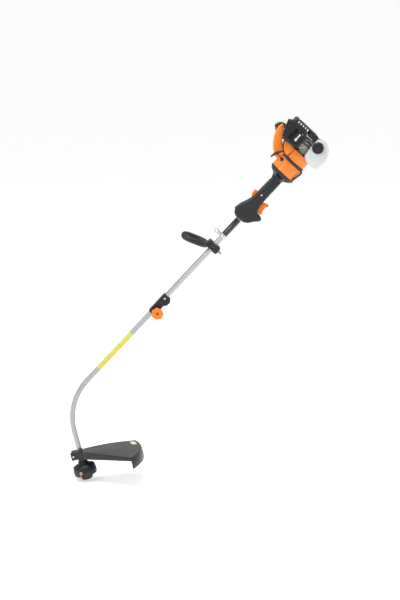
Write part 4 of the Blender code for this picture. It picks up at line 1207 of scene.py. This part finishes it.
TANK_SIDE = [(452, -54), (456, -30), (468, -11), (502, -6), (551, -6), (560, -30), (560.5, -56),
             (549, -72), (525, -84), (501, -88), (459, -83), (452, -68)]
CAP = TOOL @ moved(CAP_PLACE[0], -61.5, CAP_PLACE[1]) @ LEFT
seam_line = [(s, 0.0, u) for s, u in inset(softened(TANK_SIDE, 12, 6), -0.2)]
tank_seam = as_object("tank_seam", sweep(seam_line, 1.0, TOOL, 10, closed=True))
piece("tank_seam", tank_seam, "frame", TANK, "tank", cuts=[rod(33, 430, 575, 64, SHAFT)])
cap_profile = [(0, 19), (12, 19), (12.6, 17.6), (17.4, 17.6), (18, 19), (20.8, 19), (23.2, 16.4, 2),
               (23.2, 1.2), (18.6, 1.2), (18.6, 5), (0, 5)]
cap = lathe(cap_profile, 96, CAP, edge=0.7)
knurl = brick((1.6, 2.0, 12), (22.9, 0, 9), Matrix(), 0.6)
cap_grips = repeated(knurl, 36, turn=(0, 0, 10), matrix=CAP)
cap_bar = brick((26, 5, 3.4), (0, 0, 19.6), CAP, 1.2)
piece("fuel_cap", merged(cap, cap_grips, cap_bar), "cap", BLACK, "black_plastic", "tank_cap")
for number, (start, middle, end) in enumerate((((500, -30, -12), (505, -44, 10), (497, -46, 50)),
                                               ((512, -30, -12), (517, -44, 14), (507, -46, 52)))):
    hose = sweep(spline([start, middle, end], 12), 2.4, TOOL, 16)
    piece("fuel_hose_%d" % (number + 1), hose, "frame", DARK_RED_BROWN, "rubber", smooth=60)

# Guard clamp and its bolt

clamp = as_object("guard_block", brick((53, 46, 34), (-14, 0, -107), HEAD, 4, 4))
clamp_cuts = [rod(BORE, -140, -60, 48, HEAD), rod(18, -140, -105.5, 48, HEAD),
              brick((60, 2.0, 60), (-36, 0, -107), HEAD, 0)]
moulding("guard_block", clamp, "guard_clamp", cuts=clamp_cuts)
block_rib = brick((2.0, 2.4, 26), (0, 0, 0), Matrix(), 0.8)
moulding("guard_block_ribs",
         repeated(block_rib, 5, step=(8, 0, 0), matrix=HEAD @ moved(-34, -23.2, -107)))
bolt_head = lathe([(0, -80), (6.5, -80), (6.5, -88.5), (4, -90), (4, -92), (0, -92)], 40,
              HEAD @ moved(5, -17), edge=1.2)
piece("guard_bolt_head", bolt_head, "frame", BLACK, "steel", "guard_bolt")
screws("guard_screws", [(HEAD, (-30, -23.2, -107), (0, -1, 0)), (HEAD, (-34, 12, -90), (0, 0, 1)),
                        (HEAD, (-34, -12, -90), (0, 0, 1))], "frame", ZINC, 3.6, 2.6, 1.8)

# What the guard carries: a plain sticker and stiffening ribs


def on_guard(along, across, lift):
    x, y, z = guard_point(along, across)
    return Vector((x, y, z + lift))


def guard_patch(low_along, high_along, low_across, high_across, lift):
    corners = softened([(low_along, low_across), (high_along, low_across),
                        (high_along, high_across), (low_along, high_across)], 0.02, 4)
    rings = [[on_guard(along, across, level) for along, across in corners]
             for level in (lift, lift + 0.4)]
    return cleaned(placed(skinned(rings), HEAD))


piece("guard_sticker", guard_patch(0.86, 0.95, 0.40, 0.80, 2.9), "frame", STICKER,
      "black_plastic", smooth=50)
guard_ribs = merged(*[sweep([on_guard(0.12 + 0.8 * i / 24, across * (0.35 + 0.65 * i / 24), -0.2)
                             for i in range(25)], 1.3, HEAD, 10, dome=2)
                      for across in (-0.55, 0.0, 0.55)])
piece("guard_ribs", guard_ribs, "frame", GUARD_LIT_TOP_FINISH, "black_plastic", smooth=50)
